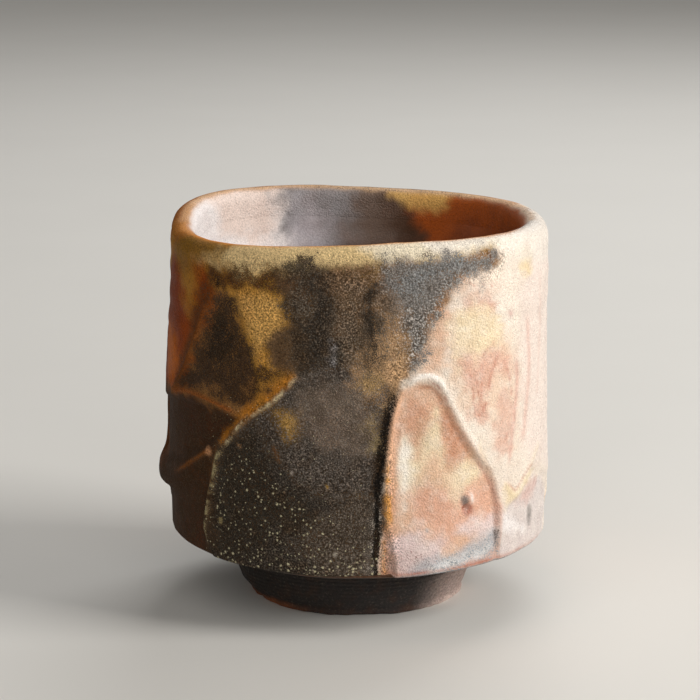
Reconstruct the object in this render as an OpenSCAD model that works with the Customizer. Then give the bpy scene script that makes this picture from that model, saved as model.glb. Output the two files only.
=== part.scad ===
// Hand-thrown tea cup of soft square plan, with a knife-carved lower wall.
// Millimetres, +Z up. The origin is on the table at the middle of the cup, and
// the carved side with the two tall arches faces -Y.
// Angles go round the cup: 0 is the front (-Y), 90 is the right (+X).

/* [Wall] */
// Height of the lip's crest above the table
cup_h = 81.6; // [60:0.2:110]
// Width across the lip
lip_w = 79.8; // [66:0.2:110]
// Width of the thrown wall just above the hip
hip_w = 81.6; // [66:0.2:110]
// Depth from front to back as a share of the width
depth_share = 0.985; // [0.9:0.005:1.1]
// Swelling of the wall between hip and lip
belly = 0.2; // [0:0.1:3]
// Squareness of the plan at the lip: 2 is round, more is squarer
lip_power = 2.6; // [2:0.1:4]
// Squareness of the plan at the hip
hip_power = 2.1; // [2:0.1:4]
// Height of the hip, the lower edge of the carved wall
hip_h = 14.8; // [12.4:0.2:22]
// Rounding of the hip edge
hip_round = 1.2; // [0.4:0.1:3]
// Thickness of the wall at the lip
lip_wall = 4.8; // [3:0.1:8]
// Thickness of the wall at the floor
foot_wall = 8; // [5:0.1:10]
// Rise and fall of the lip round the mouth
lip_wave = 0.8; // [0:0.1:2.5]
// Rise and fall of the hip round the cup
hip_wave = 0.85; // [0:0.05:1.5]

/* [Carving] */
// Depth of the deepest knife cut
cut_depth = 2.1; // [0.6:0.1:2.8]
// How far a cut's outline widens from its floor to the wall's skin
cut_flare = 0.6; // [0.1:0.1:2]
// Height of the highest arch above the table
arch_h = 56; // [36:0.5:70]

// Radius of the soft fold of clay across the left side
knuckle_r = 2.4; // [1.6:0.1:3]
// How far the fold stands proud of the thrown wall
knuckle_proud = 1.5; // [0.3:0.1:2]
// Radius of the soft ridges that are left beside the two tall arches
ridge_r = 2.2; // [1.4:0.1:3]
// How far the ridges stand proud of the thrown wall
ridge_proud = 0.5; // [0.2:0.05:1]

/* [Floor and foot] */
// Height of the inside floor above the table
floor_h = 15.5; // [13.5:0.1:24]
// Radius of the curve from the inside wall to the floor
floor_round = 13; // [6:0.5:18]
// Radius of the seam between floor disc and wall
seam_r = 26.4; // [25.8:0.1:27.5]
// Height of the foot ring
foot_h = 9.4; // [6:0.1:10.5]
// Radius of the foot ring at the table
foot_r = 23.2; // [19:0.1:24]
// How far the foot ring's top lies inside the seam
foot_inset = 0.8; // [0.8:0.1:2]
// Thickness of the foot ring at the table
foot_t = 4.6; // [3:0.1:7]
// Slope of the recess, how much the ring thickens upwards
foot_draft = 1; // [0:0.1:2.5]
// Rounding of the foot ring's edges at the table
foot_round = 1; // [0.3:0.1:1.4]
// Depth of the turned recess in the foot
recess_depth = 5.2; // [2:0.1:5.6]

/* [Glaze] */
// Thickness of the coat on the outside
coat_t = 0.45; // [0.25:0.05:0.8]
// Thickness of the coat on the inside
liner_t = 0.5; // [0.25:0.05:0.8]
// How far the outside coat runs down past the hip
hip_lap = 0.3; // [0.1:0.05:0.8]

/* [Hidden] */

// Columns round the cup, rings up the wall, and steps in a quarter round
columns = 60;
wall_steps = 8;
inside_steps = 3;
round_steps = 3;
// Steps of a knife cut's outline on each side, and its floor's columns and rows
arch_steps = 6;
floor_cols = 4;
floor_rows = 3;
// Angle at which the lip stands highest, and at which the hip does; shares of
// hip_wave that tilt the hip and that bend it like a saddle
lip_wave_a = 40;
hip_tilt_a = -75;
hip_tilt_share = 0.5;
hip_saddle_share = 1;
// Share of hip_round by which the hip's edge lies under the hip
hip_drop = 0.7;
// Columns of the cutter under the hip, and the angle of its first one, which keep its
// corners off the wall's own
under_columns = 44;
under_a = 1.7;
// Brings the highest place of the swelling to one
swell_norm = 27 / 4;
// Angle by which a cut's floor runs past its ends
cut_margin = 8;
// Height from which the plan is as square as at the lip
square_h = cup_h - lip_wall * 2;
// Half of the cup's widest width, and how far cutters reach past it
widest = max(lip_w, hip_w) / 2;
far_share = 1.5;
// Radius of the foot ring where it meets the floor disc
foot_top_r = seam_r - foot_inset;
// Sides of the soft balls that the fold and the ridges are drawn from
knuckle_sides = 12;
ridge_sides = 8;
turned_sides = 96;
// Overrun of every cut past the solid that it cuts, and the longer one of a solid
// that is taken out of one with such an overrun
overrun = cut_depth + coat_t + belly;
long_overrun = overrun * 2;

// Colours, as the photograph shows them
glaze_brown = [0.42, 0.33, 0.26];
clay_dark = [0.27, 0.23, 0.21];
clay_brown = [0.36, 0.27, 0.2];
clay_orange = [0.6, 0.36, 0.2];
liner_grey = [0.66, 0.6, 0.58];

// Each cut: angles of its left end, apex and right end, heights of its foot and
// apex as shares of arch_h, fullness of its left and right curve, and shares of
// cut_depth at its left, its right and its top
CUT_SHARES = [
    [-55, -4, 8, 0, 1.02, 1.1, 0.5, 0.3, 1, 0.35],
    [9.5, 20, 50, 0, 0.97, 0.7, 1.2, 0.25, 0.6, 0.9],
    [-75, -43, -30, 0.83, 1.24, 1.2, 1.3, 0.4, 0.2, 0.2],
    [-94, -70, -37, 0.59, 0.82, 0.6, 0.9, 0.35, 0.4, 0.8],
    [-103, -84, -48, 0, 0.55, 0.7, 1, 0.75, 0.6, 0.8],
    [54, 68, 98, 0, 0.53, 0.8, 1, 0.6, 0.3, 0.4],
    [92, 120, 142, 0, 0.95, 1, 0.8, 0.3, 0.8, 0.3],
    [138, 170, 187, 0, 1.04, 1.1, 0.8, 0.3, 0.9, 0.3],
    [182, 206, 236, 0, 0.9, 0.8, 1.1, 0.8, 0.3, 0.4],
    [235, 243, 254, 0, 0.78, 0.9, 1, 0.6, 0.4, 0.5]
];

// The fold's line: angles, heights as shares of arch_h, and shares of how far it
// stands proud
KNUCKLE_SHARES = [[-100, 0.44, -0.4], [-88, 0.49, 1], [-68, 0.56, 0.3], [-46, 0.66, 0.1]];

// The ridges beside the two tall arches, given as the fold's line is
RIDGE_SHARES = [
    [[-15, 1.01, -0.6], [-25, 0.89, 1], [-38, 0.74, 1], [-46, 0.54, 1], [-50.5, 0.33, -0.6]],
    [[12, 0.94, -0.6], [20, 0.99, 1], [29, 0.81, 1], [38, 0.61, 1], [44.5, 0.36, -0.6]]
];

// Squareness of the plan at the height z
function power_at(z) =
    hip_power + (lip_power - hip_power) * min(1, max(0, (z - hip_h) / (square_h - hip_h)));

// Radius share of the plan at angle a and height z, 1 on the flats and more at the
// corners
function plan(a, z) =
    let (p = power_at(z))
    1 / pow(pow(abs(sin(a)), p) + pow(abs(cos(a)), p), 1 / p);

// A point at angle a, half-width w and height z, drawn in or out by e
function spot(a, w, z, e = 0) =
    let (r = w * plan(a, z) + e)
    [r * sin(a), -r * depth_share * cos(a), z];

// Heights of the lip's crest and of the hip edge at angle a
function crest_z(a) = cup_h + lip_wave * cos(2 * (a - lip_wave_a));
function hip_z(a) = hip_h + hip_wave * (hip_tilt_share * cos(a - hip_tilt_a) - hip_saddle_share * cos(2 * a));

// Half-width of the outside at the share t of the way from hip to lip
function half_w(t) =
    (lip_w * t + hip_w * (1 - t)) / 2 + belly * swell_norm * t * pow(1 - t, 2);

// Thickness of the wall at the share t of the way from floor to lip
function wall_t(t) = lip_wall * t + foot_wall * (1 - t);

// Half of the lip's thickness, which is also the radius of its round
lip_r = lip_wall / 2;

// Rings are functions of the column's angle: [half-width, height, offset]
function hip_ring(a, e) =
    [half_w(0) - hip_round, hip_z(a) - hip_round * hip_drop, e];
function outer_ring(a, t, e) =
    [half_w(t), hip_z(a) + (crest_z(a) - lip_r - hip_z(a)) * t, e];
function lip_ring(a, turn, e) =
    [half_w(1) - lip_r + lip_r * cos(turn), crest_z(a) - lip_r + (lip_r + e) * sin(turn), e * cos(turn)];
function inner_ring(a, t, e) =
    [
        half_w(t) - wall_t(t),
        floor_h + floor_round + (crest_z(a) - lip_r - floor_h - floor_round) * t,
        -e
    ];
function bowl_ring(a, turn, e) =
    [
        half_w(0) - foot_wall - floor_round * (1 - cos(turn)),
        floor_h + floor_round - (floor_round - e) * sin(turn),
        -e * cos(turn)
    ];

function outer_rings(a, e) = concat(
    [hip_ring(a, e)],
    [for (i = [0:wall_steps]) outer_ring(a, i / wall_steps, e)],
    [for (i = [1:round_steps]) lip_ring(a, 90 * i / round_steps, e)]
);
function inner_rings(a, e) = concat(
    [for (i = [1:round_steps]) lip_ring(a, 90 + 90 * i / round_steps, e)],
    [for (i = [1:inside_steps]) inner_ring(a, 1 - i / inside_steps, e)],
    [for (i = [1:round_steps]) bowl_ring(a, 90 * i / round_steps, e)]
);

// Corner radius of a round seam that just clears a true circle of radius r
function seam(r) = r / cos(180 / columns);
function seam_point(a, r, z) = [seam(r) * sin(a), -seam(r) * cos(a), z];

function to_points(rings, a) = [for (g = rings) spot(a, g[0], g[1], g[2])];

// One closed skin from columns of points round the cup: each column is a loop, or
// runs from a point low on the axis to a point high on the axis
module loft(cols, low = undef, high = undef) {
    n = len(cols);
    m = len(cols[0]);
    closed = low == undef;
    pts = concat([for (c = cols) each c], closed ? [] : [low, high]);
    rows = closed ? m : m - 1;
    sides = [
        for (i = [0:n - 1], j = [0:rows - 1])
            let (p = i * m + j, q = i * m + (j + 1) % m)
            let (r = ((i + 1) % n) * m + j, s = ((i + 1) % n) * m + (j + 1) % m)
            each [[p, q, s], [p, s, r]]
    ];
    ends = closed ? [] : [
        for (i = [0:n - 1])
            let (k = (i + 1) % n)
            each [[i * m, k * m, n * m], [k * m + m - 1, i * m + m - 1, n * m + 1]]
    ];
    polyhedron(points = pts, faces = concat(sides, ends), convexity = 8);
}

function angles() = [for (i = [0:columns - 1]) 360 * i / columns];

// The thrown wall as a ring of clay: hip, outside, lip, inside and floor
module thrown_wall() {
    loft([
        for (a = angles())
            concat(
                [seam_point(a, seam_r, foot_h)],
                to_points(concat(outer_rings(a, 0), inner_rings(a, 0)), a),
                [seam_point(a, seam_r, floor_h)]
            )
    ]);
}

// The outside form as a filled solid, drawn out by e, with a tail below the hip
module filled_form(e, tail) {
    loft(
        [
            for (a = angles())
                let (rings = outer_rings(a, e), foot = rings[0])
                to_points(concat([[foot[0], foot[1] - tail, e]], rings), a)
        ],
        low = [0, 0, hip_h - tail],
        high = [0, 0, cup_h]
    );
}

// The mouth inside the lip's crest line
module mouth_plug() {
    low = cup_h - lip_r - overrun;
    high = cup_h + long_overrun;
    loft(
        [for (a = angles()) [spot(a, half_w(1) - lip_r, low), spot(a, half_w(1) - lip_r, high)]],
        low = [0, 0, low],
        high = [0, 0, high]
    );
}

// Outline of an arch from its left end over its apex to its right end
function arch_quarter(x0, x1, z0, z1, full) = [
    for (i = [0:arch_steps])
        let (turn = 90 * i / arch_steps)
        [x1 + (x0 - x1) * pow(cos(turn), full), z0 + (z1 - z0) * pow(sin(turn), full)]
];
function arch_outline(x0, x1, x2, z0, z1, full_left, full_right) =
    let (right = arch_quarter(x2, x1, z0, z1, full_right))
    concat(
        arch_quarter(x0, x1, z0, z1, full_left),
        [for (i = [arch_steps - 1:-1:0]) right[i]]
    );

// A block between angles a0 and a1 and heights z0 and z1, outside a floor that
// lies under the wall's skin by depths(u, v), u from left to right, v upwards
module floor_block(a0, a1, z0, z1, depths, e) {
    far = widest * far_share;
    cols = [
        for (i = [0:floor_cols])
            let (u = i / floor_cols, a = a0 + (a1 - a0) * u)
            concat(
                [for (j = [0:floor_rows])
                    let (v = j / floor_rows, z = z0 + (z1 - z0) * v)
                    let (t = max(0, (z - hip_h) / (cup_h - lip_r - hip_h)))
                    spot(a, half_w(t), z, e - depths(u, v))],
                [spot(a, far, z1), spot(a, far, z0)]
            )
    ];
    n = len(cols);
    m = len(cols[0]);
    sides = [
        for (i = [0:n - 2], j = [0:m - 1])
            let (p = i * m + j, q = i * m + (j + 1) % m)
            each [[p, q + m, q], [p, p + m, q + m]]
    ];
    ends = [[for (j = [0:m - 1]) j], [for (j = [m - 1:-1:0]) (n - 1) * m + j]];
    polyhedron(points = [for (c = cols) each c], faces = concat(sides, ends), convexity = 8);
}

// One knife cut, as the clay that it takes away, with its floor drawn out by e
module knife_cut(shares, e) {
    middle = (shares[0] + shares[2]) / 2;
    r = widest * plan(middle, cup_h);
    xs = [for (k = [0:2]) r * sin(shares[k] - middle)];
    low = max(arch_h * shares[3], hip_h - long_overrun);
    high = arch_h * shares[4];
    depths = function (u, v)
        cut_depth * (shares[7] + (shares[8] - shares[7]) * u) * (1 - (1 - shares[9]) * v);
    intersection() {
        rotate([0, 0, middle])
            rotate([90, 0, 0])
                hull() {
                    translate([0, 0, r / 2])
                        linear_extrude(overrun)
                            polygon(arch_outline(
                                xs[0] + e, xs[1], xs[2] - e, low + e, high - e, shares[5], shares[6]
                            ));
                    translate([0, 0, r + overrun])
                        linear_extrude(overrun)
                            polygon(arch_outline(
                                xs[0] - cut_flare, xs[1], xs[2] + cut_flare,
                                low - cut_flare, high + cut_flare, shares[5], shares[6]
                            ));
                }
        floor_block(
            shares[0] - cut_margin, shares[2] + cut_margin, low - overrun, high + overrun, depths, e
        );
    }
}

module knife_cuts(e) {
    for (shares = CUT_SHARES) knife_cut(shares, e);
}

// A soft line of clay on the wall, through places given as angles, heights as shares
// of arch_h, and shares of how far the line stands proud
module clay_line(shares, r, proud, sides, e) {
    points = [
        for (k = shares)
            let (z = arch_h * k[1], t = (z - hip_h) / (cup_h - lip_r - hip_h))
            spot(k[0], half_w(t), z, proud * k[2] - r)
    ];
    for (i = [0:len(points) - 2])
        hull() {
            translate(points[i]) sphere(r = r + e, $fn = sides);
            translate(points[i + 1]) sphere(r = r + e, $fn = sides);
        }
}

// The fold between the upper and lower cuts on the left, and the ridges in front
module clay_lines(e) {
    clay_line(KNUCKLE_SHARES, knuckle_r, knuckle_proud, knuckle_sides, e);
    for (shares = RIDGE_SHARES)
        clay_line(shares, ridge_r, ridge_proud, ridge_sides, e);
}

module cup_wall() {
    color(clay_brown)
        union() {
            difference() {
                thrown_wall();
                knife_cuts(0);
            }
            clay_lines(0);
        }
}

// The filled solid with the fold and the cuts, drawn out by e
module carved_form(e, tail) {
    difference() {
        filled_form(e, tail);
        knife_cuts(e);
    }
    clay_lines(e);
}

// Everything under the coat's lower edge, which waves as the hip does
module under_hip() {
    low = hip_h - long_overrun - overrun;
    edge = hip_h - hip_round * hip_drop - hip_lap;
    loft(
        [
            for (i = [0:under_columns - 1])
                let (a = under_a + 360 * i / under_columns, far = widest * far_share)
                [spot(a, far, low), spot(a, far, edge + (hip_z(a) - hip_h) * far_share)]
        ],
        low = [0, 0, low],
        high = [0, 0, edge]
    );
}

module outer_glaze() {
    color(glaze_brown)
        difference() {
            carved_form(coat_t, hip_lap + overrun);
            carved_form(0, hip_lap + long_overrun);
            mouth_plug();
            under_hip();
        }
}

// The hollow of the cup as a filled solid, from the floor up to the lip's crest,
// drawn in by e
module hollow_form(e, top) {
    loft(
        [
            for (a = angles())
                let (rings = concat([lip_ring(a, 90, e)], inner_rings(a, e)))
                to_points([for (i = [len(rings) - 1:-1:0]) rings[i]], a)
        ],
        low = [0, 0, floor_h + e],
        high = [0, 0, top]
    );
}

module inner_glaze() {
    color(liner_grey)
        difference() {
            hollow_form(0, cup_h);
            hollow_form(liner_t, cup_h + overrun);
        }
}

// Radius of the recess in the foot at the height z
recess_r = foot_r - foot_t;
function recess_at(z) = recess_r - foot_draft * (z - foot_round) / (foot_h - foot_round);

module base_disc() {
    color(clay_dark)
        rotate_extrude($fn = turned_sides)
            polygon([
                [0, recess_depth],
                [recess_at(recess_depth), recess_depth],
                [recess_at(foot_h), foot_h],
                [seam_r, foot_h],
                [seam_r, floor_h],
                [0, floor_h]
            ]);
}

// Points of a quarter round between the upright and the flat at the table
function foot_edge(r, side) = [
    for (i = [0:round_steps])
        let (turn = 90 * i / round_steps)
        [r + side * foot_round * (1 - cos(turn)), foot_round * (1 - sin(turn))]
];

module foot_ring() {
    outer_edge = foot_edge(foot_r, -1);
    color(clay_orange)
        rotate_extrude($fn = turned_sides)
            polygon(concat(
                foot_edge(recess_r, 1),
                [for (i = [round_steps:-1:0]) outer_edge[i]],
                [[foot_top_r, foot_h], [recess_at(foot_h), foot_h]]
            ));
}

cup_wall();
base_disc();
foot_ring();
inner_glaze();
outer_glaze();
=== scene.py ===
"""A hand-thrown, knife-carved tea cup in wood-ash glaze, dressed over its CAD frame.

Lengths inside the script are millimetres unless a name says otherwise, and become
metres where a mesh, a lamp or the camera is placed. Angles go round the cup in
degrees: 0 is the front (-Y), 90 is the viewer's right (+X), as in the CAD model.
"""

import logging
import math
from dataclasses import dataclass, field, replace
from enum import Enum
from functools import partial
from typing import Callable, Sequence

import bmesh
import bpy
import numpy as np
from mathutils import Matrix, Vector

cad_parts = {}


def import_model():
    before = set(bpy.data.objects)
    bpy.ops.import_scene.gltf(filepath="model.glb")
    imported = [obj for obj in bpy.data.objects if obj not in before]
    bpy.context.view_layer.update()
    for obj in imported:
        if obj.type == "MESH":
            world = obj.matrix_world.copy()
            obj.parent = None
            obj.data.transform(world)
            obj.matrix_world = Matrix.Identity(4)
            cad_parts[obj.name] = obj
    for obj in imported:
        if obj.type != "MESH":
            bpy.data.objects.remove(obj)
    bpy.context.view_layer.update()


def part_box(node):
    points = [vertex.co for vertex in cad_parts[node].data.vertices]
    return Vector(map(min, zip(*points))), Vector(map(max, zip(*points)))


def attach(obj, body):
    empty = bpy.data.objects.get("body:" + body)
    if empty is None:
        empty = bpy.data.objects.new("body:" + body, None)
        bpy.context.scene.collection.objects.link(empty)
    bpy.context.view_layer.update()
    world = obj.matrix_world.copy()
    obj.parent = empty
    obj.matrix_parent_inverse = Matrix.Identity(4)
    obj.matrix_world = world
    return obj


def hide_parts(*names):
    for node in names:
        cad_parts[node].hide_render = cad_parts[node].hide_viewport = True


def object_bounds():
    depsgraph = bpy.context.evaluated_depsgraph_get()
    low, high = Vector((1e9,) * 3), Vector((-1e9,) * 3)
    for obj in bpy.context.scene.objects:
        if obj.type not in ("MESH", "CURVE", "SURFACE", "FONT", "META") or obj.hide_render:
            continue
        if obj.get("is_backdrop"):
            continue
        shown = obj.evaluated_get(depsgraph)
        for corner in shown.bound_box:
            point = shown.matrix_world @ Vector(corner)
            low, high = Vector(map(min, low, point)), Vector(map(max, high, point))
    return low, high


LOG = logging.getLogger("tea_cup")
MM = 0.001
Array = np.ndarray
Place = tuple[float, float]
Lump = tuple[float, float, int]  # height, width and seed

EDGE_KINDS = 3  # uneven edges that the marks choose from
WAVER_REACH = 2.2  # the most that such an edge strays, for each millimetre of ragged
RIDGE_REACH = 3.0  # widths beside a ridge that are still looked at
RIDGE_FALL = 0.62  # share of a ridge's width over which it falls away
RIDGE_WANDER = 0.2  # how much that width changes along the ridge


class Layer(Enum):
    """What a firing mark changes on a coat."""

    FLASH = "flash"
    SOOT = "soot"
    GROG = "grog"
    GLOSS = "gloss"
    DRY = "dry"
    BARE = "bare"


def linear(code: str) -> tuple[float, float, float]:
    """Turn an sRGB hex colour into linear light.

    Args:
        code: six hex digits, such as "c9ae7c".

    Returns:
        Red, green and blue as linear shares of one.
    """
    parts = [int(code[i : i + 2], 16) / 255 for i in (0, 2, 4)]
    bent = [p / 12.92 if p <= 0.04045 else ((p + 0.055) / 1.055) ** 2.4 for p in parts]
    return bent[0], bent[1], bent[2]


def ease(low: float, high: float, value: Array) -> Array:
    """Rise smoothly from 0 at low to 1 at high.

    Args:
        low: value at which the rise starts.
        high: value at which it ends.
        value: where to read it.

    Returns:
        The share risen, 0 to 1.
    """
    share = np.clip((value - low) / (high - low), 0.0, 1.0)
    return share * share * (3.0 - 2.0 * share)


def bell(offset: Array, width: float | Array) -> Array:
    """1 where the offset is 0, falling to 0 on both sides over about two widths."""
    return np.exp(-((offset / width) ** 2))


def signed(angle: Array) -> Array:
    """The same angle in degrees, between -180 and 180."""
    return (angle + 180.0) % 360.0 - 180.0


def lumps(points: Array, size: float, seed: int) -> Array:
    """Smooth lattice noise from -1 to 1.

    Args:
        points: places in millimetres, one row each.
        size: width of a lump in millimetres.
        seed: which of many patterns.

    Returns:
        One value for each place.
    """
    scaled = points / size
    base = np.floor(scaled).astype(np.int64)
    part = scaled - base
    part = part * part * (3.0 - 2.0 * part)
    total = np.zeros(len(points))
    for corner in range(8):
        step = np.array([corner & 1, corner >> 1 & 1, corner >> 2 & 1])
        cell = base + step
        mixed = cell[:, 0] * 73856093 ^ cell[:, 1] * 19349663 ^ cell[:, 2] * 83492791
        mixed = (mixed ^ seed * 2654435761) & 0xFFFFFFFF
        mixed = (mixed ^ mixed >> 15) * 2246822519 & 0xFFFFFFFF
        mixed = (mixed ^ mixed >> 13) * 3266489917 & 0xFFFFFFFF
        weight = np.prod(np.where(step == 1, part, 1.0 - part), axis=1)
        total += weight * ((mixed ^ mixed >> 16) & 0xFFFF) / 65535.0
    return total * 2.0 - 1.0


def uneven(points: Array, *kinds: Lump) -> Array:
    """Add up lumps of several sizes.

    Args:
        points: places in millimetres, one row each.
        *kinds: height, width and seed of each kind of lump.

    Returns:
        One value for each place.
    """
    return sum(height * lumps(points, width, seed) for height, width, seed in kinds)


def smooth_path(places: Sequence[Place], closed: bool, steps: int = 5) -> Array:
    """Run a smooth curve through a few places.

    Args:
        places: the places that the curve passes.
        closed: whether its ends meet.
        steps: points made for each stretch.

    Returns:
        The curve's points, one row each.
    """
    knots = np.array(places, float)
    count = len(knots)
    curve = []
    for i in range(count if closed else count - 1):
        around = [i + k for k in (-1, 0, 1, 2)]
        rows = [k % count if closed else min(max(k, 0), count - 1) for k in around]
        before, start, end, after = knots[rows]
        turn = 2 * before - 5 * start + 4 * end - after
        twist = 3 * start - before - 3 * end + after
        for t in np.arange(steps) / steps:
            curve.append(0.5 * (2 * start + (end - before) * t + turn * t**2 + twist * t**3))
    if not closed:
        curve.append(knots[-1])
    return np.array(curve)


def distance_to(path: Array, across: Array, height: Array, closed: bool) -> tuple[Array, Array]:
    """Distance to a path, and how far along it the nearest point lies.

    Args:
        path: points of the path, one row each.
        across: millimetres along the skin.
        height: height of each place.
        closed: whether the path's ends meet.

    Returns:
        The distance, and the share of the path passed.
    """
    best = np.full(len(across), np.inf)
    along = np.zeros(len(across))
    count = len(path)
    stretches = count if closed else count - 1
    for i in range(stretches):
        start = path[i]
        run = path[(i + 1) % count] - start
        length = max(float(run @ run), 1e-9)
        t = np.clip(((across - start[0]) * run[0] + (height - start[1]) * run[1]) / length, 0, 1)
        gap = np.hypot(across - start[0] - t * run[0], height - start[1] - t * run[1])
        nearer = gap < best
        best = np.where(nearer, gap, best)
        along = np.where(nearer, (i + t) / stretches, along)
    return best, along


def depth_inside(path: Array, across: Array, height: Array) -> Array:
    """Distance to a closed outline, positive inside it.

    Args:
        path: the outline's points, one row each.
        across: millimetres along the skin.
        height: height of each place.

    Returns:
        Millimetres inside, negative outside.
    """
    gap, _ = distance_to(path, across, height, True)
    inside = np.zeros(len(across), bool)
    for (x0, y0), (x1, y1) in zip(path, np.roll(path, -1, axis=0)):
        if y0 != y1:
            spans = (y0 > height) != (y1 > height)
            inside ^= spans & (across < (x1 - x0) * (height - y0) / (y1 - y0) + x0)
    return np.where(inside, gap, -gap)


@dataclass(frozen=True)
class Sheet:
    """A side of the cup rolled flat: one row for each vertex."""

    angle: Array
    height: Array
    points: Array
    roll_radius: float = 42.0
    waver: tuple[Array, ...] = field(init=False)

    def __post_init__(self) -> None:
        """Draw the uneven edges that the marks share."""
        edges = tuple(
            uneven(self.points, (1.0, 5.0, 90 + k), (0.7, 2.0, 94 + k), (0.5, 0.9, 98 + k))
            for k in range(EDGE_KINDS)
        )
        object.__setattr__(self, "waver", edges)

    def lay(
        self, places: Sequence[Place], closed: bool, margin: float, steps: int = 5
    ) -> tuple[Array, Array, Array, Array]:
        """Lay a curve on the flat sheet and find the vertices near it.

        Args:
            places: angle and height of the places that the curve passes.
            closed: whether its ends meet.
            margin: how far round the curve to look, in millimetres.
            steps: points made for each stretch.

        Returns:
            The curve in millimetres, the rows of the vertices near it, and their
            millimetres along the skin and heights.
        """
        middle = float(np.array(places)[:, 0].mean())
        path = smooth_path(places, closed, steps)
        path[:, 0] = np.radians(path[:, 0] - middle) * self.roll_radius
        across = self.across(middle)
        low, high = path.min(axis=0) - margin, path.max(axis=0) + margin
        beside = (across > low[0]) & (across < high[0])
        rows = np.flatnonzero(beside & (self.height > low[1]) & (self.height < high[1]))
        return path, rows, across[rows], self.height[rows]

    def across(self, middle: float) -> Array:
        """Millimetres along the skin from the upright line at an angle."""
        return np.radians(signed(self.angle - middle)) * self.roll_radius

    def spot(self, angle: float, height: float, radius: float) -> Array:
        """A small round spot.

        Args:
            angle: its angle.
            height: its height.
            radius: its radius in millimetres.

        Returns:
            1 at its middle, 0 away from it.
        """
        return bell(np.hypot(self.across(angle), self.height - height), radius)


@dataclass(frozen=True)
class KnifeCut:
    """A stroke of the carving knife, as an outline and the clay it took away."""

    name: str
    outline: tuple[Place, ...]
    left: float  # depth at the outline's left edge
    right: float  # depth at its right edge
    top: float  # share of the depth that is left at the top
    edge: float = 0.8  # width of the slope at the outline
    lean: float = 1.0  # above 1, the depth grows late on the way to the right
    outer_share: float = 0.35  # how much of the edge lies outside the outline
    taper: float = 1.5  # above 1, the depth changes late on the way up

    def depth(self, sheet: Sheet) -> Array:
        """Clay taken away at each place of a sheet.

        Args:
            sheet: the places.

        Returns:
            Millimetres, 0 outside the cut.
        """
        path, rows, across, height = sheet.lay(self.outline, True, self.edge)
        inside = depth_inside(path, across, height)
        low, span = path.min(axis=0), np.ptp(path, axis=0)
        u = np.clip((across - low[0]) / span[0], 0, 1) ** self.lean
        v = np.clip((height - low[1]) / span[1], 0, 1) ** self.taper
        taken = np.zeros(len(sheet.angle))
        taken[rows] = ease(-self.edge * self.outer_share, self.edge, inside)
        taken[rows] *= (self.left + (self.right - self.left) * u) * (1 - (1 - self.top) * v)
        return taken


@dataclass(frozen=True)
class Ridge:
    """A soft line: clay left standing between two strokes, or only a stroke of colour; a few lines
    carry painted highlight or painted shade.
    """

    name: str
    path: tuple[Place, ...]
    height: float
    width: float
    tint: str
    bite: float = 0.8  # how strongly the tint shows
    fade: float = 0.15  # share of the length over which each end fades
    dotted: bool = False  # whether the tint breaks up into dots

    def near(self, sheet: Sheet) -> Array:
        """How close each place lies to the ridge's crest.

        Args:
            sheet: the places.

        Returns:
            1 on the crest, falling to 0 beside it and at its ends.
        """
        path, rows, across, height = sheet.lay(self.path, False, self.width * RIDGE_REACH)
        gap, along = distance_to(path, across, height, False)
        ends = ease(0, self.fade, along) * ease(0, self.fade, 1 - along)
        wander = 1 + RIDGE_WANDER * sheet.waver[0][rows]
        closeness = np.zeros(len(sheet.angle))
        closeness[rows] = bell(gap, self.width * RIDGE_FALL * wander) * ends
        return closeness


@dataclass(frozen=True)
class Stain:
    """A mark that fire, ash or smoke left on the coat, or a painted highlight or shade, as an
    outline and a tint.
    """

    name: str
    outline: tuple[Place, ...]
    tint: str
    strength: float = 1.0
    soft: float = 2.0  # half the width of its soft edge
    ragged: float = 1.2  # how far that edge strays
    layer: Layer = Layer.FLASH

    def share(self, sheet: Sheet) -> Array:
        """How strongly the mark shows at each place.

        Args:
            sheet: the places.

        Returns:
            0 to the mark's strength.
        """
        margin = self.soft + WAVER_REACH * self.ragged
        path, rows, across, height = sheet.lay(self.outline, True, margin, steps=3)
        depth = depth_inside(path, across, height)
        depth += self.ragged * sheet.waver[len(self.name) % EDGE_KINDS][rows]
        share = np.zeros(len(sheet.angle))
        share[rows] = self.strength * ease(-self.soft, self.soft, depth)
        return share


def in_layer(layer: Layer, marks: tuple[Stain, ...]) -> tuple[Stain, ...]:
    """Put marks on one layer.

    Args:
        layer: the layer.
        marks: the marks.

    Returns:
        The same marks on that layer.
    """
    return tuple(replace(mark, layer=layer) for mark in marks)


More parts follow.
